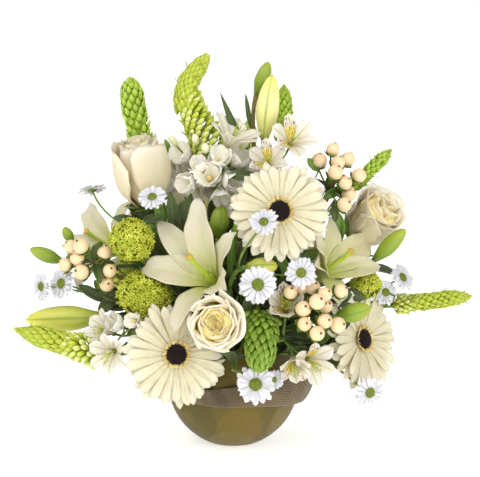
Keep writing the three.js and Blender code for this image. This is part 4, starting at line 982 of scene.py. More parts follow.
class CENTERPIECE_OT_bowl(Operator):
    """Build the glass bowl, the foam in it and the woven wrap round it"""

    bl_idname = "centerpiece.bowl"
    bl_label = "Bowl, foam and wrap"

    def execute(self, context):
        self.build_bowl()
        self.build_wrap()
        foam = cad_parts["foam"]
        foam.data.materials.clear()
        foam.data.materials.append(finish_named("wet_foam"))
        return {"FINISHED"}

    def build_bowl(self):
        growth = Growth("lustre_bowl", "lustre_glass", "bowl")
        lip = sqrt((BOWL_RADIUS - WALL / 2) ** 2 - (RIM_HEIGHT - BOWL_CENTRE) ** 2)
        rim = [(lip + 0.6, RIM_HEIGHT - 0.2), (lip, RIM_HEIGHT), (lip - 0.6, RIM_HEIGHT - 0.2)]
        inner = self.arc(BOWL_RADIUS - WALL, RIM_HEIGHT - 1.2, WALL, 18)
        profile = [(0, 0), *self.arc(BOWL_RADIUS, 0, RIM_HEIGHT - 1.2, 28), *rim, *inner, (0, WALL)]
        bm = bmesh.new()
        verts = [bm.verts.new((x, 0, z)) for x, z in profile]
        edges = [bm.edges.new(pair) for pair in zip(verts, verts[1:])]
        bmesh.ops.spin(bm, geom=verts + edges, axis=(0, 0, 1), cent=(0, 0, 0), dvec=(0, 0, 0), angle=tau,
                       steps=96, use_merge=True)
        bmesh.ops.remove_doubles(bm, verts=bm.verts, dist=MERGE_DISTANCE)
        bmesh.ops.recalc_face_normals(bm, faces=bm.faces)
        growth.add(made(bm), "lustre_glass")
        growth.end()

    def arc(self, radius, start, end, steps):
        """Points (out, up) along the bowl's round side, from one height to another."""
        first, last = asin((start - BOWL_CENTRE) / radius), asin((end - BOWL_CENTRE) / radius)
        leans = [between(first, last, i / steps) for i in range(steps + 1)]
        return [(cos(lean) * radius, BOWL_CENTRE + sin(lean) * radius) for lean in leans]

    def build_wrap(self):
        growth = Growth("woven_wrap", "woven_mesh", "mesh_wrap")

        def place(along, up):
            turn = along * 360
            rightwards = 0.5 + 0.5 * sin(tau * along)
            low = between(WRAP_LEFT[0], WRAP_RIGHT[0], rightwards) + sin(tau * along * 5)
            height = between(low, between(WRAP_LEFT[1], WRAP_RIGHT[1], rightwards), up)
            offside = (turn - FLARE_TURN + 540) % 360 - 180
            flare = FLARE_REACH * exp(-((offside / FLARE_SPREAD) ** 2)) * (0.45 + 0.55 * up)
            crease = 0.8 * (1 + sin(tau * along * 23 + 3 * up)) * (0.3 + up)
            wave = (1 + sin(tau * along * 7)) * (0.3 + 0.9 * up) + crease
            out = sqrt(BOWL_RADIUS**2 - (height - BOWL_CENTRE) ** 2) + 1.7 + flare + wave
            return Vector((sin(radians(turn)) * out, -cos(radians(turn)) * out, height))

        shape = surface(240, 14, place, closed=True, thickness=0.6)
        growth.add(shape, "woven_mesh")
        wrap = growth.end()


class CENTERPIECE_OT_gerberas(Operator):
    """Build the gerberas: layers of long petals, a dark eye, and a green cup on a bare stem"""

    bl_idname = "centerpiece.gerberas"
    bl_label = "Gerberas"

    def execute(self, context):
        count = context.scene.centerpiece_sizes.gerbera_rays
        rng = random.Random(SEEDS["gerberas"])
        for name, spec in GERBERAS.items():
            head = head_frame(spec["at"], spec["turn"], spec["rise"], spec.get("roll", 0))
            self.build_petals(name, spec, head, count, rng)
            self.build_eye(name, head, rng)
            self.build_stem(name, spec, head)
        return {"FINISHED"}

    def build_petals(self, name, spec, head, count, rng):
        growth = Growth(f"{name}_rays", "gerbera_petal", f"{name}_petals")
        size = spec["size"]
        drop = spec.get("reflex", 4) - spec.get("cup", 0)
        # (number, reach, width, height at the foot, extra drop of the tip, start)
        layers = (
            (count, 1.0, 8.8, -1.8, drop + 1.5, 8),
            (count, 0.95, 8.6, 0.2, drop - 2, 8),
        )
        for layer, (number, reach, width, height, fall, start) in enumerate(layers):
            for i in range(number):
                length = size * reach * rng.uniform(0.88, 1.02) - start
                angle = 360 * (i + 0.5 * layer) / number + rng.uniform(-2.5, 2.5)
                lean = -atan2(fall, length) * 180 / pi
                shape = blade(
                    RAY, length, width * rng.uniform(0.85, 1.12), lift=lean + 6 + rng.uniform(-3, 3),
                    curl=-11 + rng.uniform(-9, 6), cup=rng.uniform(-0.2, 1.2), twist=rng.uniform(-12, 12),
                    folds=0.3, blunt=0.05, notch=0.015, cells=(6, 14), thickness=0.45)
                growth.add(shape, "gerbera_ray", head @ slot(angle, start, height), rng.random())
        growth.end()

    def build_eye(self, name, head, rng):
        growth = Growth(f"{name}_disc", "gerbera_eye", f"{name}_eye")
        growth.add(spun(DOME, 3.2, 8.4, 20, 6), "gerbera_disc", head @ raised(1.3), 0.2)
        floret = spun(TIGHT_BUD, 2.2, 0.75, 5, 4)
        for i in range(EYE_FLORETS):
            share = sqrt((i + 0.5) / EYE_FLORETS)
            turn = i * GOLDEN_TURN
            height = 1.5 + 2.6 * sqrt(1 - share**2)
            lean = Vector((cos(turn) * 0.7 * share, sin(turn) * 0.7 * share, 1))
            place = head @ aimed((cos(turn) * 8.2 * share, sin(turn) * 8.2 * share, height), lean)
            growth.add(floret, "gerbera_disc", place, rng.random())
        filament = spun(TIGHT_BUD, 4.8, 0.62, 5, 4)
        for i in range(ANTHERS):
            turn = tau * i / ANTHERS + rng.uniform(-0.05, 0.05)
            out = rng.uniform(8, 9.8)
            lean = Vector((cos(turn), sin(turn), rng.uniform(0.35, 1)))
            place = head @ aimed((cos(turn) * out, sin(turn) * out, rng.uniform(1.4, 2.8)), lean)
            growth.add(filament, "anther", place, rng.random())
        growth.end()

    def build_stem(self, name, spec, head):
        growth = Growth(f"{name}_stalk", "flower_stem", f"{name}_stem")
        facing = way(spec["turn"], spec["rise"])
        back = Vector(spec["at"]) - facing * 16
        drop = max(0, spec.get("reflex", 4) - 4) * 0.225
        growth.add(spun(CALYX, 10.6 - drop, 11.3, 16, 8), "stem", aimed(back, facing))
        for row, (number, out, low) in enumerate(((14, 7.2, -12.5), (16, 9, -9))):
            for i in range(number):
                shape = blade(LANCE, 6.5, 2.6, lift=62, curl=-14, cup=0.4, cells=(2, 5), thickness=0.4)
                growth.add(shape, "stem", head @ slot(360 * (i + row / 2) / number, out, low - drop), 0.8)
        path = route(back + facing * 4, facing, spec["entry"], reach=spec["reach"])
        growth.add(swept(path, STEMS["gerbera"], 8), "stem")
        growth.end()


class CENTERPIECE_OT_lilies(Operator):
    """Build the lilies: six tepals round a green pistil, on a stem with closed buds"""

    bl_idname = "centerpiece.lilies"
    bl_label = "Lilies"

    def execute(self, context):
        rng = random.Random(SEEDS["lilies"])
        for name, spec in LILIES.items():
            head = head_frame(spec["at"], spec["turn"], spec["rise"])
            self.build_tepals(name, spec, head, rng)
            self.build_stem(name, spec, head)
        for name, spec in BUD_STEMS.items():
            growth = Growth(f"{name}_green", "lily_bud", name)
            arrive = Vector(spec["arrive"]).normalized()
            path = route(spec["fork"], arrive, spec["entry"])
            growth.add(swept(path, STEMS["lily"], 8), "stem")
            for start, end, radius, finish in spec["buds"]:
                add_bud(growth, on_route(path, 0.96), start, end, radius, finish, "brown_stem")
            growth.end()
        return {"FINISHED"}

    def build_tepals(self, name, spec, head, rng):
        growth = Growth(f"{name}_flower", "lily_petal", f"{name}_tepals")
        size = spec["size"]
        for i, (angle, lift, curl, share) in enumerate(spec["tepals"]):
            inner = i % 2 == 0
            shape = blade(
                TEPAL, size * share, size * (0.36 if inner else 0.29), lift=lift, curl=curl, cup=size * 0.05,
                ruffle=size * (0.028 if inner else 0.015), waves=3.2, groove=1.3, phase=rng.uniform(0, 6),
                cells=(14, 26), thickness=0.7)
            tint = spec.get("tint", 0) or rng.uniform(0, 0.6)
            growth.add(shape, "lily_tepal", head @ slot(angle, 2, 1 if inner else -1.5), tint)
        growth.add(spun(PLUMP_BUD, 12, 6, 12, 6), "pistil", head @ raised(-7))
        growth.end()

    def build_stem(self, name, spec, head):
        growth = Growth(f"{name}_stalk", "flower_stem", f"{name}_stem")
        size = spec["size"]
        foot = Vector((0, 0, -9))
        style = [head @ p for p in bow(foot, Vector((0, 0, size * 0.4)), Vector((0, 3, size * 0.6)), 10)]
        growth.add(swept(style, [2.2] * 3 + [1.8] * 5 + [2.0, 2.5, 2.5], 8), "pistil")
        tip = aimed(style[-1], style[-1] - style[-2])
        growth.add(spun(DOME, 2.6, 3.3, 12, 5, 3, 0.22), "stigma", tip @ raised(-0.8))
        for i in range(6):
            turn = radians(60 * i)
            end = head @ Vector((cos(turn) * 6, sin(turn) * 6 + 1, size * 0.26))
            path = bow(head @ foot, head @ Vector((cos(turn) * 3, sin(turn) * 3, size * 0.12)), end, 6)
            growth.add(swept(path, 0.55, 5), "pistil", tint=0.7)
        path = add_stem(growth, spec, 8, STEMS["lily"])
        for start, end, radius, fork, finish in spec["buds"]:
            origin = Vector(fork) if isinstance(fork, tuple) else on_route(path, fork)
            add_bud(growth, origin, start, end, radius, finish)
        growth.end()


def add_bud(growth, fork, start, end, radius, finish, stalk="stem"):
    """A closed lily bud on a thin stalk from a fork."""
    start, end = Vector(start), Vector(end)
    axis = end - start
    length = axis.length
    path = bow(fork, start - axis * min(0.5, (start - fork).length / length * 0.5), start + axis * 0.05)
    growth.add(swept(path, [2.1] * (len(path) - 2) + [2.3, 2.8], 7), stalk)
    growth.add(spun(LILY_BUD, length, radius, 18, 16, 3, 0.06), finish, aimed(start, axis, radius))


class CENTERPIECE_OT_roses(Operator):
    """Build the roses: petals in a spiral round a tight heart, green sepals and a stem"""

    bl_idname = "centerpiece.roses"
    bl_label = "Roses"

    def execute(self, context):
        rng = random.Random(SEEDS["roses"])
        number = context.scene.centerpiece_sizes.rose_petals
        for name, spec in ROSES.items():
            head = head_frame(spec["at"], spec["turn"], spec["rise"])
            growth = Growth(f"{name}_bloom", "rose_petal", f"{name}_petals")
            core = spun(HEART, spec["size"] * 0.75, spec["size"] * 0.3, 16, 10)
            growth.add(core, "rose_heart", head @ raised(spec["size"] * 0.1))
            for i in range(number):
                shape = self.petal(spec["size"], i / (number - 1), spec["open"], rng)
                place = head @ Matrix.Rotation(i * GOLDEN_TURN, 4, "Z")
                growth.add(shape, "rose_petal", place, min(1, i / number * 1.15))
            growth.end()
            growth = Growth(f"{name}_stalk", "flower_stem", f"{name}_stem")
            growth.add(spun(CALYX, 9, 7, 12, 6), "stem", head @ raised(-9.4))
            for i in range(5):
                shape = blade(LANCE, 20, 6.5, lift=-4, curl=26, cup=0.5, cells=(4, 8), thickness=0.5)
                growth.add(shape, "fresh_leaf", head @ slot(72 * i, 3, -1.6))
            add_stem(growth, spec, 7, STEMS["rose"])
            growth.end()
        return {"FINISHED"}

    def petal(self, size, share, opened, rng):
        """One petal round the axis; share runs from 0 at the heart to 1 outside."""
        rim = size * between(0.05, 0.37, share**1.05) * rng.uniform(0.9, 1.08)
        tall = size * (between(between(1.04, 0.93, opened), between(1.0, 0.84, opened), share**1.8)
                       + rng.uniform(-0.04, 0.04))
        foot = size * between(0.5, 0.0, min(share * 1.6, 1))
        span = radians(between(150, 135, share)) * rng.uniform(0.85, 1.15)
        shape = (
            (0, between(0.6, 0.36, share)),
            (0.25, between(1.05, between(0.92, 0.85, opened), share)),
            (0.5, between(1.15, between(1.1, 1.02, opened), share)),
            (0.8, between(1.0, between(1.07, 1.05, opened), share)),
            (1, between(0.75, between(0.96, 1.12, opened), share**between(1, 0.6, opened))),
        )
        lip = size * 0.06 * share**between(1, 0.7, opened) * (0.4 + 0.7 * opened)
        spiral = between(0.3, 0.08, share)
        fall = 0.06 + share * between(0.2, 0.12, opened)
        tilt = rng.uniform(-0.16, 0.16) * share * (1 - 0.6 * opened)
        ruffle = size * between(0.035, 0.02, share)
        corners = between(0.55, 0.16, share)
        phase = rng.uniform(0, tau)

        def place(side, along):
            across = 1 - 2 * side
            narrow = sqrt(min(1, 0.3 + along * 1.5))
            angle = across * span / 2 * narrow
            edge = max(0, along - 0.78) / 0.22
            out = rim * eased(shape, along) * (1 + spiral * across)
            out *= between(1, 1 / cos(angle * 0.75), corners * along)
            out += lip * edge**2 * (1.1 - 0.3 * abs(across))
            out += ruffle * (sin(2.5 * angle + phase) + 0.6 * sin(6.5 * angle + 2 * phase) * along**2) * along**2
            crest = 1 - (fall * abs(across) ** 3.2 - tilt * across) * along
            crest += 0.025 * sin(5 * across + phase) * along
            height = foot + (tall - foot) * along * crest - lip * 0.7 * edge**3
            return Vector((cos(angle) * out, sin(angle) * out, height))

        return surface(14, 14, place, thickness=0.55)


class CENTERPIECE_OT_spikes(Operator):
    """Build the spikes: close green buds up a stem, plumper and paler at the foot, with open white cups"""

    bl_idname = "centerpiece.spikes"
    bl_label = "Flower spikes"

    def execute(self, context):
        rng = random.Random(SEEDS["spikes"])
        tight = spun(TIGHT_BUD, 1, 1, 6, 6)
        plump = spun(PLUMP_BUD, 1, 1, 8, 7)
        for name, own in SPIKES.items():
            spec = {**USUAL_SPIKE, **own}
            growth = Growth(f"{name}_green", "flower_spike", name)
            start = eased_point(spec["path"], 0.0)
            arrive = (eased_point(spec["path"], 0.05) - start).normalized()
            growth.add(swept(route(start, arrive, spec["entry"]), STEMS["spike"], 7), "stem")
            half, tip = spec["width"] / 2, spec["tip"]
            girth = ((0, half), (0.4, between(half, tip / 2, 0.3)), (0.75, between(half, tip / 2, 0.6)),
                     (0.93, tip * 0.42), (1, tip * 0.08))
            spine = [eased_point(spec["path"], i / 14) for i in range(15)]
            thick = [eased(girth, i / 14) * (0.74 if i / 14 > spec["loose"] * 0.8 else 0.25) for i in range(15)]
            growth.add(swept(spine, thick, 8), spec["finish"], tint=0.9)
            self.add_scales(growth, spec, girth, tight, rng)
            self.add_bracts(growth, spec, girth, rng)
            if spec["loose"]:
                self.add_loose_buds(growth, spec, girth, plump, rng)
            fork = eased_point(spec["path"], 0.02)
            for *at, turn, rise, size in spec["cups"]:
                self.add_cup(growth, fork, at, turn, rise, size, rng)
            for *at, turn, rise, size in spec["cup_buds"]:
                at, facing = Vector(at), way(turn, rise)
                growth.add(swept(bow(fork, at - facing * size, at, 6), 0.9, 5), "stem", tint=0.9)
                place = aimed(at, facing) @ scaled(size * 0.3, size * 0.3, size * 1.15)
                growth.add(plump, "cream_cup_bud", place, 0.4)
            growth.end()
        return {"FINISHED"}

    def place_on(self, spec, share, turn):
        """The spike's centre line at a share, its direction there, and the way out from it at a turn."""
        centre = eased_point(spec["path"], share)
        ahead = eased_point(spec["path"], min(share + 0.02, 1))
        axis = (ahead - eased_point(spec["path"], share - 0.02)).normalized()
        right = axis.orthogonal().normalized()
        return centre, axis, right * cos(turn) + axis.cross(right) * sin(turn)

    def add_scales(self, growth, spec, girth, tight, rng):
        """Flat closed buds that overlap up to the tip."""
        number = spec["buds"]
        for i in range(number):
            share = (i + 0.5) / number
            share = between(spec["loose"] * 0.8, 0.985, share * (1.25 - 0.25 * share))
            centre, axis, side = self.place_on(spec, share, i * GOLDEN_TURN)
            reach = eased(girth, share) * rng.uniform(0.9, 1.06)
            length = between(12.5, 9, share) * rng.uniform(0.9, 1.1) * between(1, spec["width"] / 30, 0.6)
            length *= spec["broad"]
            lean = radians(between(24, spec["close"], share**2.5))
            direction = side * sin(lean) + axis * cos(lean)
            across = axis.cross(side)
            foot = centre + side * max(reach - length * max(sin(lean), 0), 0.2) - axis * length * 0.4
            place = axes(across, direction.cross(across), direction, foot)
            place = place @ scaled(length * 0.32, length * 0.17, length)
            growth.add(tight, spec["finish"], place, rng.uniform(spec["shade"], 1))

    def add_bracts(self, growth, spec, girth, rng):
        """Narrow bracts that stand out between the buds."""
        for i in range(SPIKE_BRACTS):
            share = between(max(0.08, spec["bare"]), 0.92, (i + 0.5) / SPIKE_BRACTS)
            centre, axis, side = self.place_on(spec, share, i * GOLDEN_TURN * 1.7)
            foot = centre + side * eased(girth, share) * 0.8
            length = rng.uniform(6, 9) * (1.1 - 0.4 * share) * spec["bracts"]
            shape = blade(LANCE, length, 2.2, curl=-20, cup=0.3, cells=(2, 5), thickness=0.35)
            growth.add(shape, "bract", leaf_frame(foot, side * 0.6 + axis, -side), rng.random())

    def add_loose_buds(self, growth, spec, girth, plump, rng):
        """Plump buds that stand out on short stalks from the lower part."""
        number = round(spec["buds"] * spec["few"])
        for i in range(number):
            t = (i + 0.5) / number
            share = between(spec["bare"], spec["loose"], t)
            centre, axis, side = self.place_on(spec, share, i * GOLDEN_TURN)
            lean = radians(between(64, 34, t) + rng.uniform(-10, 10)) * spec["splay"]
            direction = side * sin(lean) + axis * cos(lean) + Vector((0.5, 0, 0.1)) * spec["fan"]
            length = between(13.5, 11, t) * spec["width"] / 30
            fan = 1 + spec["fan"] * max(0, side.x) * (1 - 0.7 * t)
            foot = centre + side * eased(girth, share) * between(0.62, 0.42, t) * fan + axis * 2
            growth.add(swept([centre - axis * 4, centre.lerp(foot, 0.6), foot], 0.7, 5), "lime_bud", tint=0.9)
            wide = length * rng.uniform(0.2, 0.25)
            finish = "pale_bud" if rng.random() < between(spec["pale"], 0.3, t) else spec["finish"]
            growth.add(plump, finish, aimed(foot, direction) @ scaled(wide, wide, length), rng.random())

    def add_cup(self, growth, fork, at, turn, rise, size, rng):
        """An open white cup of six petals on a thin stalk."""
        head = head_frame(at, turn, rise, rng.uniform(0, 60))
        facing = way(turn, rise)
        back = Vector(at) - facing * size * 0.4
        growth.add(swept(bow(fork, back - facing * size * 0.5, back, 6), 0.9, 5), "stem", tint=0.9)
        for i in range(6):
            shape = blade(CUPPED, size * 1.1, size * 0.8, lift=34 + 8 * (i % 2), curl=56 + rng.uniform(-22, 8),
                          cup=size * 0.1, ruffle=0.6, cells=(6, 9), phase=rng.uniform(0, 6), thickness=0.4)
            growth.add(shape, "white_cup", head @ slot(60 * i, 0.6, 0.4 * (i % 2) - size * 0.4), rng.random())
        growth.add(spun(PLUMP_BUD, size * 0.5, size * 0.09, 8, 5), "anther", head @ raised(-size * 0.4))


class CENTERPIECE_OT_hypericum(Operator):
    """Build the hypericum: peach berries with green sepals on branched twigs"""

    bl_idname = "centerpiece.hypericum"
    bl_label = "Hypericum"

    def execute(self, context):
        rng = random.Random(SEEDS["hypericum"])
        berry = spun(BERRY, 2.2, 1, 16, 12)
        sepal = blade(ROUND_LEAF, 9.6, 5.6, lift=4, curl=52, cup=0.4, cells=(4, 6), thickness=0.4)
        for name, spec in HYPERICUMS.items():
            growth = Growth(f"{name}_sprig", "berry", name)
            fork, _ = add_forked_stem(growth, spec, STEMS["hypericum"], "brown_stem")
            for i, at in enumerate(spec["berries"]):
                at = Vector(at)
                radius = 6.3 + (i * 5) % 3 * 0.4
                axis = ((at - fork).normalized() + outward(at) + way(rng.uniform(10, 60), 35)).normalized()
                foot = at - axis * radius * 1.1
                side = axis.orthogonal() * rng.uniform(-3, 3)
                growth.add(swept(bow(fork, fork.lerp(foot, 0.5) + side, foot, 6), 0.9, 5), "brown_stem")
                place = aimed(foot, axis, rng.uniform(0, 6)) @ scaled(radius, radius, radius)
                growth.add(berry, "berry", place, rng.random())
                for j in range(5):
                    turned = aimed(foot - axis * 0.4, axis, 0.3 * i) @ slot(72 * j, 0.6)
                    growth.add(sepal, "fresh_leaf", turned, rng.random())
            for direction, length in spec["leaves"]:
                add_leaf(growth, fork, direction, length, length * 0.42, tint=rng.random())
            growth.end()
        return {"FINISHED"}


class CENTERPIECE_OT_viburnum(Operator):
    """Build the viburnum: lime green balls of tiny florets"""

    bl_idname = "centerpiece.viburnum"
    bl_label = "Viburnum"

    def execute(self, context):
        rng = random.Random(SEEDS["viburnum"])
        most = context.scene.centerpiece_sizes.viburnum_florets
        floret = star(5, 0.62, 0.3, 0.14)
        heart = spun(PLUMP_BUD, 0.4, 0.2, 5, 3)
        for name, spec in VIBURNUMS.items():
            growth = Growth(f"{name}_balls", "lime_florets", name)
            _, path = add_forked_stem(growth, spec, STEMS["viburnum"])
            for at, radii in spec["heads"]:
                centre = Vector(at)
                growth.add(swept([path[-2], centre.lerp(path[-2], 0.5), centre], 1.7, 6), "stem")
                core = Matrix.Translation(centre) @ scaled(*(0.84 * r for r in radii))
                growth.add(spun(BALL, 2, 1, 14, 10), "lime_heart", core @ raised(-1))
                number = round(most * (radii[0] * radii[2] + radii[0] * radii[1]) / FULL_HEAD)
                for i in range(number):
                    place = self.place_on(centre, radii, i, number, rng)
                    growth.add(floret, "lime_floret", place, rng.random())
                    growth.add(heart, "daisy_eye", place @ raised(-0.05), rng.random())
            growth.end()
        return {"FINISHED"}

    def place_on(self, centre, radii, i, number, rng):
        """A floret's place on a head, spread evenly over it, with its depth, lean, size and turn at random."""
        up = 1 - 2 * (i + 0.5) / number
        turn = i * GOLDEN_TURN
        level = sqrt(1 - up * up)
        out = Vector((cos(turn) * level, sin(turn) * level, up))
        normal = Vector([out[k] / radii[k] for k in range(3)]).normalized()
        depth = rng.uniform(0.82, 1.0)
        point = centre + Vector([out[k] * radii[k] * depth for k in range(3)])
        normal = (normal + Vector([rng.uniform(-0.5, 0.5) for _ in range(3)])).normalized()
        size = rng.uniform(3.0, 4.1)
        return aimed(point, normal, rng.uniform(0, tau)) @ scaled(size, size, size)


class CENTERPIECE_OT_daisies(Operator):
    """Build the spray daisies: white rays round a green eye on branched stems"""

    bl_idname = "centerpiece.daisies"
    bl_label = "Spray daisies"

    def execute(self, context):
        rng = random.Random(SEEDS["daisies"])
        count = context.scene.centerpiece_sizes.daisy_rays
        dot = spun(PLUMP_BUD, 1.1, 0.5, 5, 4)
        for name, spec in DAISIES.items():
            growth = Growth(f"{name}_spray", "daisy_rays", name)
            fork = Vector(spec["fork"])
            only = spec.get("arrive")
            backs = [head_frame(*head[:3]) @ Vector((0, 0, -2.4)) for head in spec["heads"]]
            target = backs[0] if only else fork
            arrive = Vector(only).normalized() if only else outward(fork)
            path = route(target, arrive, spec["entry"], lead=spec.get("lead", 40), reach=spec.get("reach", 40))
            growth.add(swept(path, STEMS["daisy"], 6), "stem")
            for head, back in zip(spec["heads"], backs):
                if not only:
                    middle = Vector(head[4]) if len(head) > 4 else back - way(*head[1:3]) * 16
                    growth.add(swept(bow(on_route(path, 0.96), middle, back, 10), 1, 6), "stem")
                self.add_head(growth, head_frame(*head[:3], rng.uniform(0, 40)), head[3], count, dot, rng)
            growth.end()
        return {"FINISHED"}

    def add_head(self, growth, head, size, count, dot, rng):
        """One daisy: a green cup, a dotted eye and two layers of rays."""
        eye = size * 0.28
        growth.add(spun(CALYX, size * 0.22, size * 0.36, 12, 5), "stem", head @ raised(-size * 0.2))
        growth.add(spun(DOME, size * 0.17, eye, 14, 6), "daisy_eye", head @ raised(0.2), 0.2)
        for i in range(EYE_DOTS):
            share = sqrt((i + 0.5) / EYE_DOTS)
            turn = i * GOLDEN_TURN
            place = (cos(turn) * eye * share, sin(turn) * eye * share, size * 0.15 * sqrt(1 - share**2) + 0.1)
            lean = (cos(turn) * share * 0.6, sin(turn) * share * 0.6, 1)
            growth.add(dot, "daisy_eye", head @ aimed(place, lean) @ scaled(*(size / 18,) * 3), rng.random())
        for layer, (reach, lift) in enumerate(((1.0, 2), (0.93, 10))):
            for i in range(count):
                shape = blade(
                    RAY, size * reach * rng.uniform(0.88, 1.05) - eye * 0.8, size * 0.25 * rng.uniform(0.85, 1.1),
                    lift=lift + rng.uniform(-7, 8), curl=rng.uniform(-26, 4), cup=rng.uniform(-0.4, 0.9),
                    folds=0.2, blunt=0.08, notch=0.04, cells=(6, 8), thickness=0.4)
                angle = 360 * (i + 0.5 * layer) / count + rng.uniform(-5, 5)
                growth.add(shape, "daisy_ray", head @ slot(angle, eye * 0.8, 0.3 * layer), rng.random())


class CENTERPIECE_OT_alstroemeria(Operator):
    """Build the alstroemeria: white funnels of six petals, the inner ones streaked"""

    bl_idname = "centerpiece.alstroemeria"
    bl_label = "Alstroemeria"

    def execute(self, context):
        rng = random.Random(SEEDS["alstroemeria"])
        for name, spec in ALSTROEMERIAS.items():
            growth = Growth(f"{name}_flowers", "alstroemeria_petal", name)
            _, path = add_forked_stem(growth, spec, STEMS["alstroemeria"])
            for at, turn, rise, size, opened, streaked in spec["heads"]:
                head = head_frame(at, turn, rise)
                back = head @ Vector((0, 0, -7))
                middle = back - way(turn, rise) * 14
                growth.add(swept(bow(on_route(path, 0.96), middle, back), 1.2, 6), "stem")
                growth.add(spun(PLUMP_BUD, 8, 2.6, 8, 6), "stem", head @ raised(-9))
                self.add_petals(growth, head, size, opened, streaked, rng)
            for direction, length in spec["leaves"]:
                start = on_route(path, 0.9)
                add_leaf(growth, start, direction, length, length * 0.095, outline=LANCE, curl=-6, face=VIEWER)
            growth.end()
        return {"FINISHED"}

    def add_petals(self, growth, head, size, opened, streaked, rng):
        for i in range(6):
            outer = i % 2 == 0
            marked = streaked and i in (1, 3)
            shape = blade(
                SPOON, size * (1.12 if outer else 1.15), size * (0.58 if outer else 0.42),
                lift=between(82, 68, opened), curl=between(-12, -46, opened) + rng.uniform(-6, 6),
                cup=size * 0.05, ruffle=size * 0.022, waves=2.5, groove=0.5, phase=rng.uniform(0, 6),
                blunt=0.04, cells=(8, 14), thickness=0.5)
            place = head @ slot(60 * i + 37, 1, -6 + 0.6 * (i % 2))
            growth.add(shape, "alstroemeria_petal", place, 0.9 if marked else rng.uniform(0, 0.6))
        for i in range(6):
            turn = radians(60 * i + 20)
            end = head @ Vector((cos(turn) * 4, sin(turn) * 4 - 3, size * 0.62))
            path = bow(head @ Vector((0, 0, -6)), head @ Vector((0, 0, size * 0.3)), end, 6)
            growth.add(swept(path, 0.45, 5), "pistil")
            growth.add(spun(PLUMP_BUD, 2.2, 0.65, 6, 4), "stigma", aimed(end, way(10 * i, 40)))


class CENTERPIECE_OT_foliage(Operator):
    """Build the dark leafy stems and the sprigs that fill the inside of the arrangement"""

    bl_idname = "centerpiece.foliage"
    bl_label = "Foliage"

    def execute(self, context):
        rng = random.Random(SEEDS["foliage"])
        for name, spec in LEAFY_STEMS.items():
            growth = Growth(f"{name}_foliage", "dark_leaf", name)
            fork, _ = add_forked_stem(growth, spec, STEMS["leafy"], sides=6)
            for direction, length in spec["leaves"]:
                add_leaf(growth, fork, direction, length, length * 0.36, seed=rng.uniform(0, 6), tint=rng.random())
            growth.end()
        growth = Growth("single_leaves", "dark_leaf")
        for at, direction, length, width, *look in SINGLE_LEAVES:
            add_leaf(growth, at, direction, length, width, *look, curl=-20, seed=rng.uniform(0, 6),
                     tint=rng.random(), face=VIEWER)
            twig = [Vector(at), Vector(at) * 0.75 + FOAM_FOCUS * 0.25]
            growth.add(swept([twig[0], twig[0].lerp(twig[1], 0.5), twig[1]], STEMS["twig"], 5), "stem")
        growth.end()
        growth = Growth("inner_foliage", "dark_leaf")
        number = context.scene.centerpiece_sizes.sprigs
        for i in range(number):
            turn = (i * GOLDEN_TURN * 180 / pi) % 360
            rise = between(4, 78, ((i + 0.5) / number))
            tip = FOAM_FOCUS + way(turn, rise) * between(78, 118, rise / 80)
            path = route(tip, way(turn, rise + 8), (turn, max(rise, 22)), lead=10, reach=20, steps=10)
            growth.add(swept(path, STEMS["sprig"], 5), "stem")
            for j in range(SPRIG_LEAVES):
                at = on_route(path, 0.35 + 0.65 * j / (SPRIG_LEAVES - 1))
                aside = rng.uniform(60, 110) * (1 if j % 2 else -1) * (1 - j / (SPRIG_LEAVES + 1))
                out = way(turn + aside, rise + rng.uniform(-25, 30))
                length = rng.uniform(26, 38)
                add_leaf(growth, at, out, length, length * rng.uniform(0.4, 0.52), curl=rng.uniform(-60, -15),
                         seed=rng.uniform(0, 6), tint=rng.random())
        growth.end()
        return {"FINISHED"}


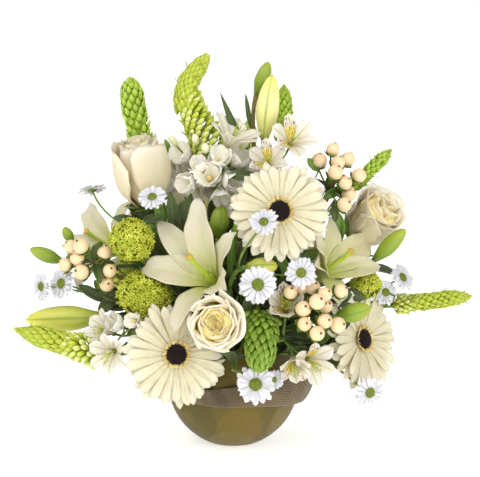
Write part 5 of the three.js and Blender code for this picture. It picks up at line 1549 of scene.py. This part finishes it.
class CENTERPIECE_OT_stage(Operator):
    """Set the pale floor, the soft light and the camera"""

    bl_idname = "centerpiece.stage"
    bl_label = "Floor, light and camera"

    def execute(self, context):
        scene = context.scene
        light = scene.centerpiece_light
        self.build_floor(light.floor)
        scene.world = self.surroundings(light)
        middle = LOOKED_AT * MM
        self.build_lamp("Key light", light.key_power, KEY_SIZE, middle + KEY_PLACE, middle)
        self.build_lamp("Fill light", light.fill_power, FILL_SIZE, middle + FILL_PLACE, middle)
        distance = scene.centerpiece_sizes.camera_distance
        camera = bpy.data.cameras.new("Camera at the photograph's angle")
        camera.sensor_width = SENSOR_WIDTH
        camera.lens = CAMERA_LENS
        viewer = bpy.data.objects.new(camera.name, camera)
        viewer.location = middle - Vector((0, cos(CAMERA_RISE), -sin(CAMERA_RISE))) * distance
        viewer.rotation_euler = (pi / 2 - CAMERA_RISE, 0, 0)
        scene.collection.objects.link(viewer)
        scene.camera = viewer
        scene.view_settings.view_transform = "Standard"
        return {"FINISHED"}

    def surroundings(self, light):
        """Even light from all round, which the camera sees as a paler backdrop."""
        world = bpy.data.worlds.new("Surroundings")
        world.use_nodes = True
        nodes, links = world.node_tree.nodes, world.node_tree.links
        background, seen, strength = (
            nodes["Background"], nodes.new("ShaderNodeLightPath"), nodes.new("ShaderNodeMapRange"))
        background.inputs["Color"].default_value = (*light.sky, 1)
        strength.inputs["To Min"].default_value = light.surroundings
        strength.inputs["To Max"].default_value = SEEN_BACKDROP
        links.new(seen.outputs["Is Camera Ray"], strength.inputs["Value"])
        links.new(strength.outputs["Result"], background.inputs["Strength"])
        return world

    def build_floor(self, tone):
        bm = bmesh.new()
        bmesh.ops.create_grid(bm, x_segments=8, y_segments=8, size=8)
        mesh = made(bm, "Floor")
        finish = Finish("pale_floor", roughness=0.9, emission_strength=FLOOR_GLOW)
        finish.out(base_color=(*tone, 1), emission_color=(*tone, 1))
        mesh.materials.append(finish.material)
        floor = bpy.data.objects.new("Floor", mesh)
        bpy.context.scene.collection.objects.link(floor)

    def build_lamp(self, name, power, size, at, target):
        lamp = bpy.data.lights.new(name, "AREA")
        lamp.energy = power
        lamp.size = size
        holder = bpy.data.objects.new(name, lamp)
        holder.location = at
        holder.rotation_euler = (target - at).to_track_quat("-Z", "Y").to_euler()
        bpy.context.scene.collection.objects.link(holder)


class CENTERPIECE_PT_steps(Panel):
    """The steps that build the centerpiece, in order"""

    bl_label = "Floral table centerpiece"
    bl_idname = "CENTERPIECE_PT_steps"
    bl_space_type = "VIEW_3D"
    bl_region_type = "UI"
    bl_category = "Centerpiece"

    def draw(self, context):
        layout = self.layout
        for group in (context.scene.centerpiece_sizes, context.scene.centerpiece_light):
            for name in group.__annotations__:
                layout.prop(group, name)
        for step in STEPS:
            layout.operator(step.bl_idname)


STEPS = (
    CENTERPIECE_OT_stage,
    CENTERPIECE_OT_bowl,
    CENTERPIECE_OT_gerberas,
    CENTERPIECE_OT_lilies,
    CENTERPIECE_OT_roses,
    CENTERPIECE_OT_spikes,
    CENTERPIECE_OT_hypericum,
    CENTERPIECE_OT_viburnum,
    CENTERPIECE_OT_daisies,
    CENTERPIECE_OT_alstroemeria,
    CENTERPIECE_OT_foliage,
)
CLASSES = (CenterpieceSizes, CenterpieceLight, *STEPS, CENTERPIECE_PT_steps)


def register():
    for kind in CLASSES:
        bpy.utils.register_class(kind)
    bpy.types.Scene.centerpiece_sizes = PointerProperty(type=CenterpieceSizes)
    bpy.types.Scene.centerpiece_light = PointerProperty(type=CenterpieceLight)


def unregister():
    del bpy.types.Scene.centerpiece_light
    del bpy.types.Scene.centerpiece_sizes
    for kind in reversed(CLASSES):
        bpy.utils.unregister_class(kind)


def main():
    register()
    for step in STEPS:
        getattr(bpy.ops.centerpiece, step.bl_idname.split(".")[1])()
    for shape in [mesh for mesh in bpy.data.meshes if not mesh.users]:
        bpy.data.meshes.remove(shape)


if __name__ == "__main__":
    main()
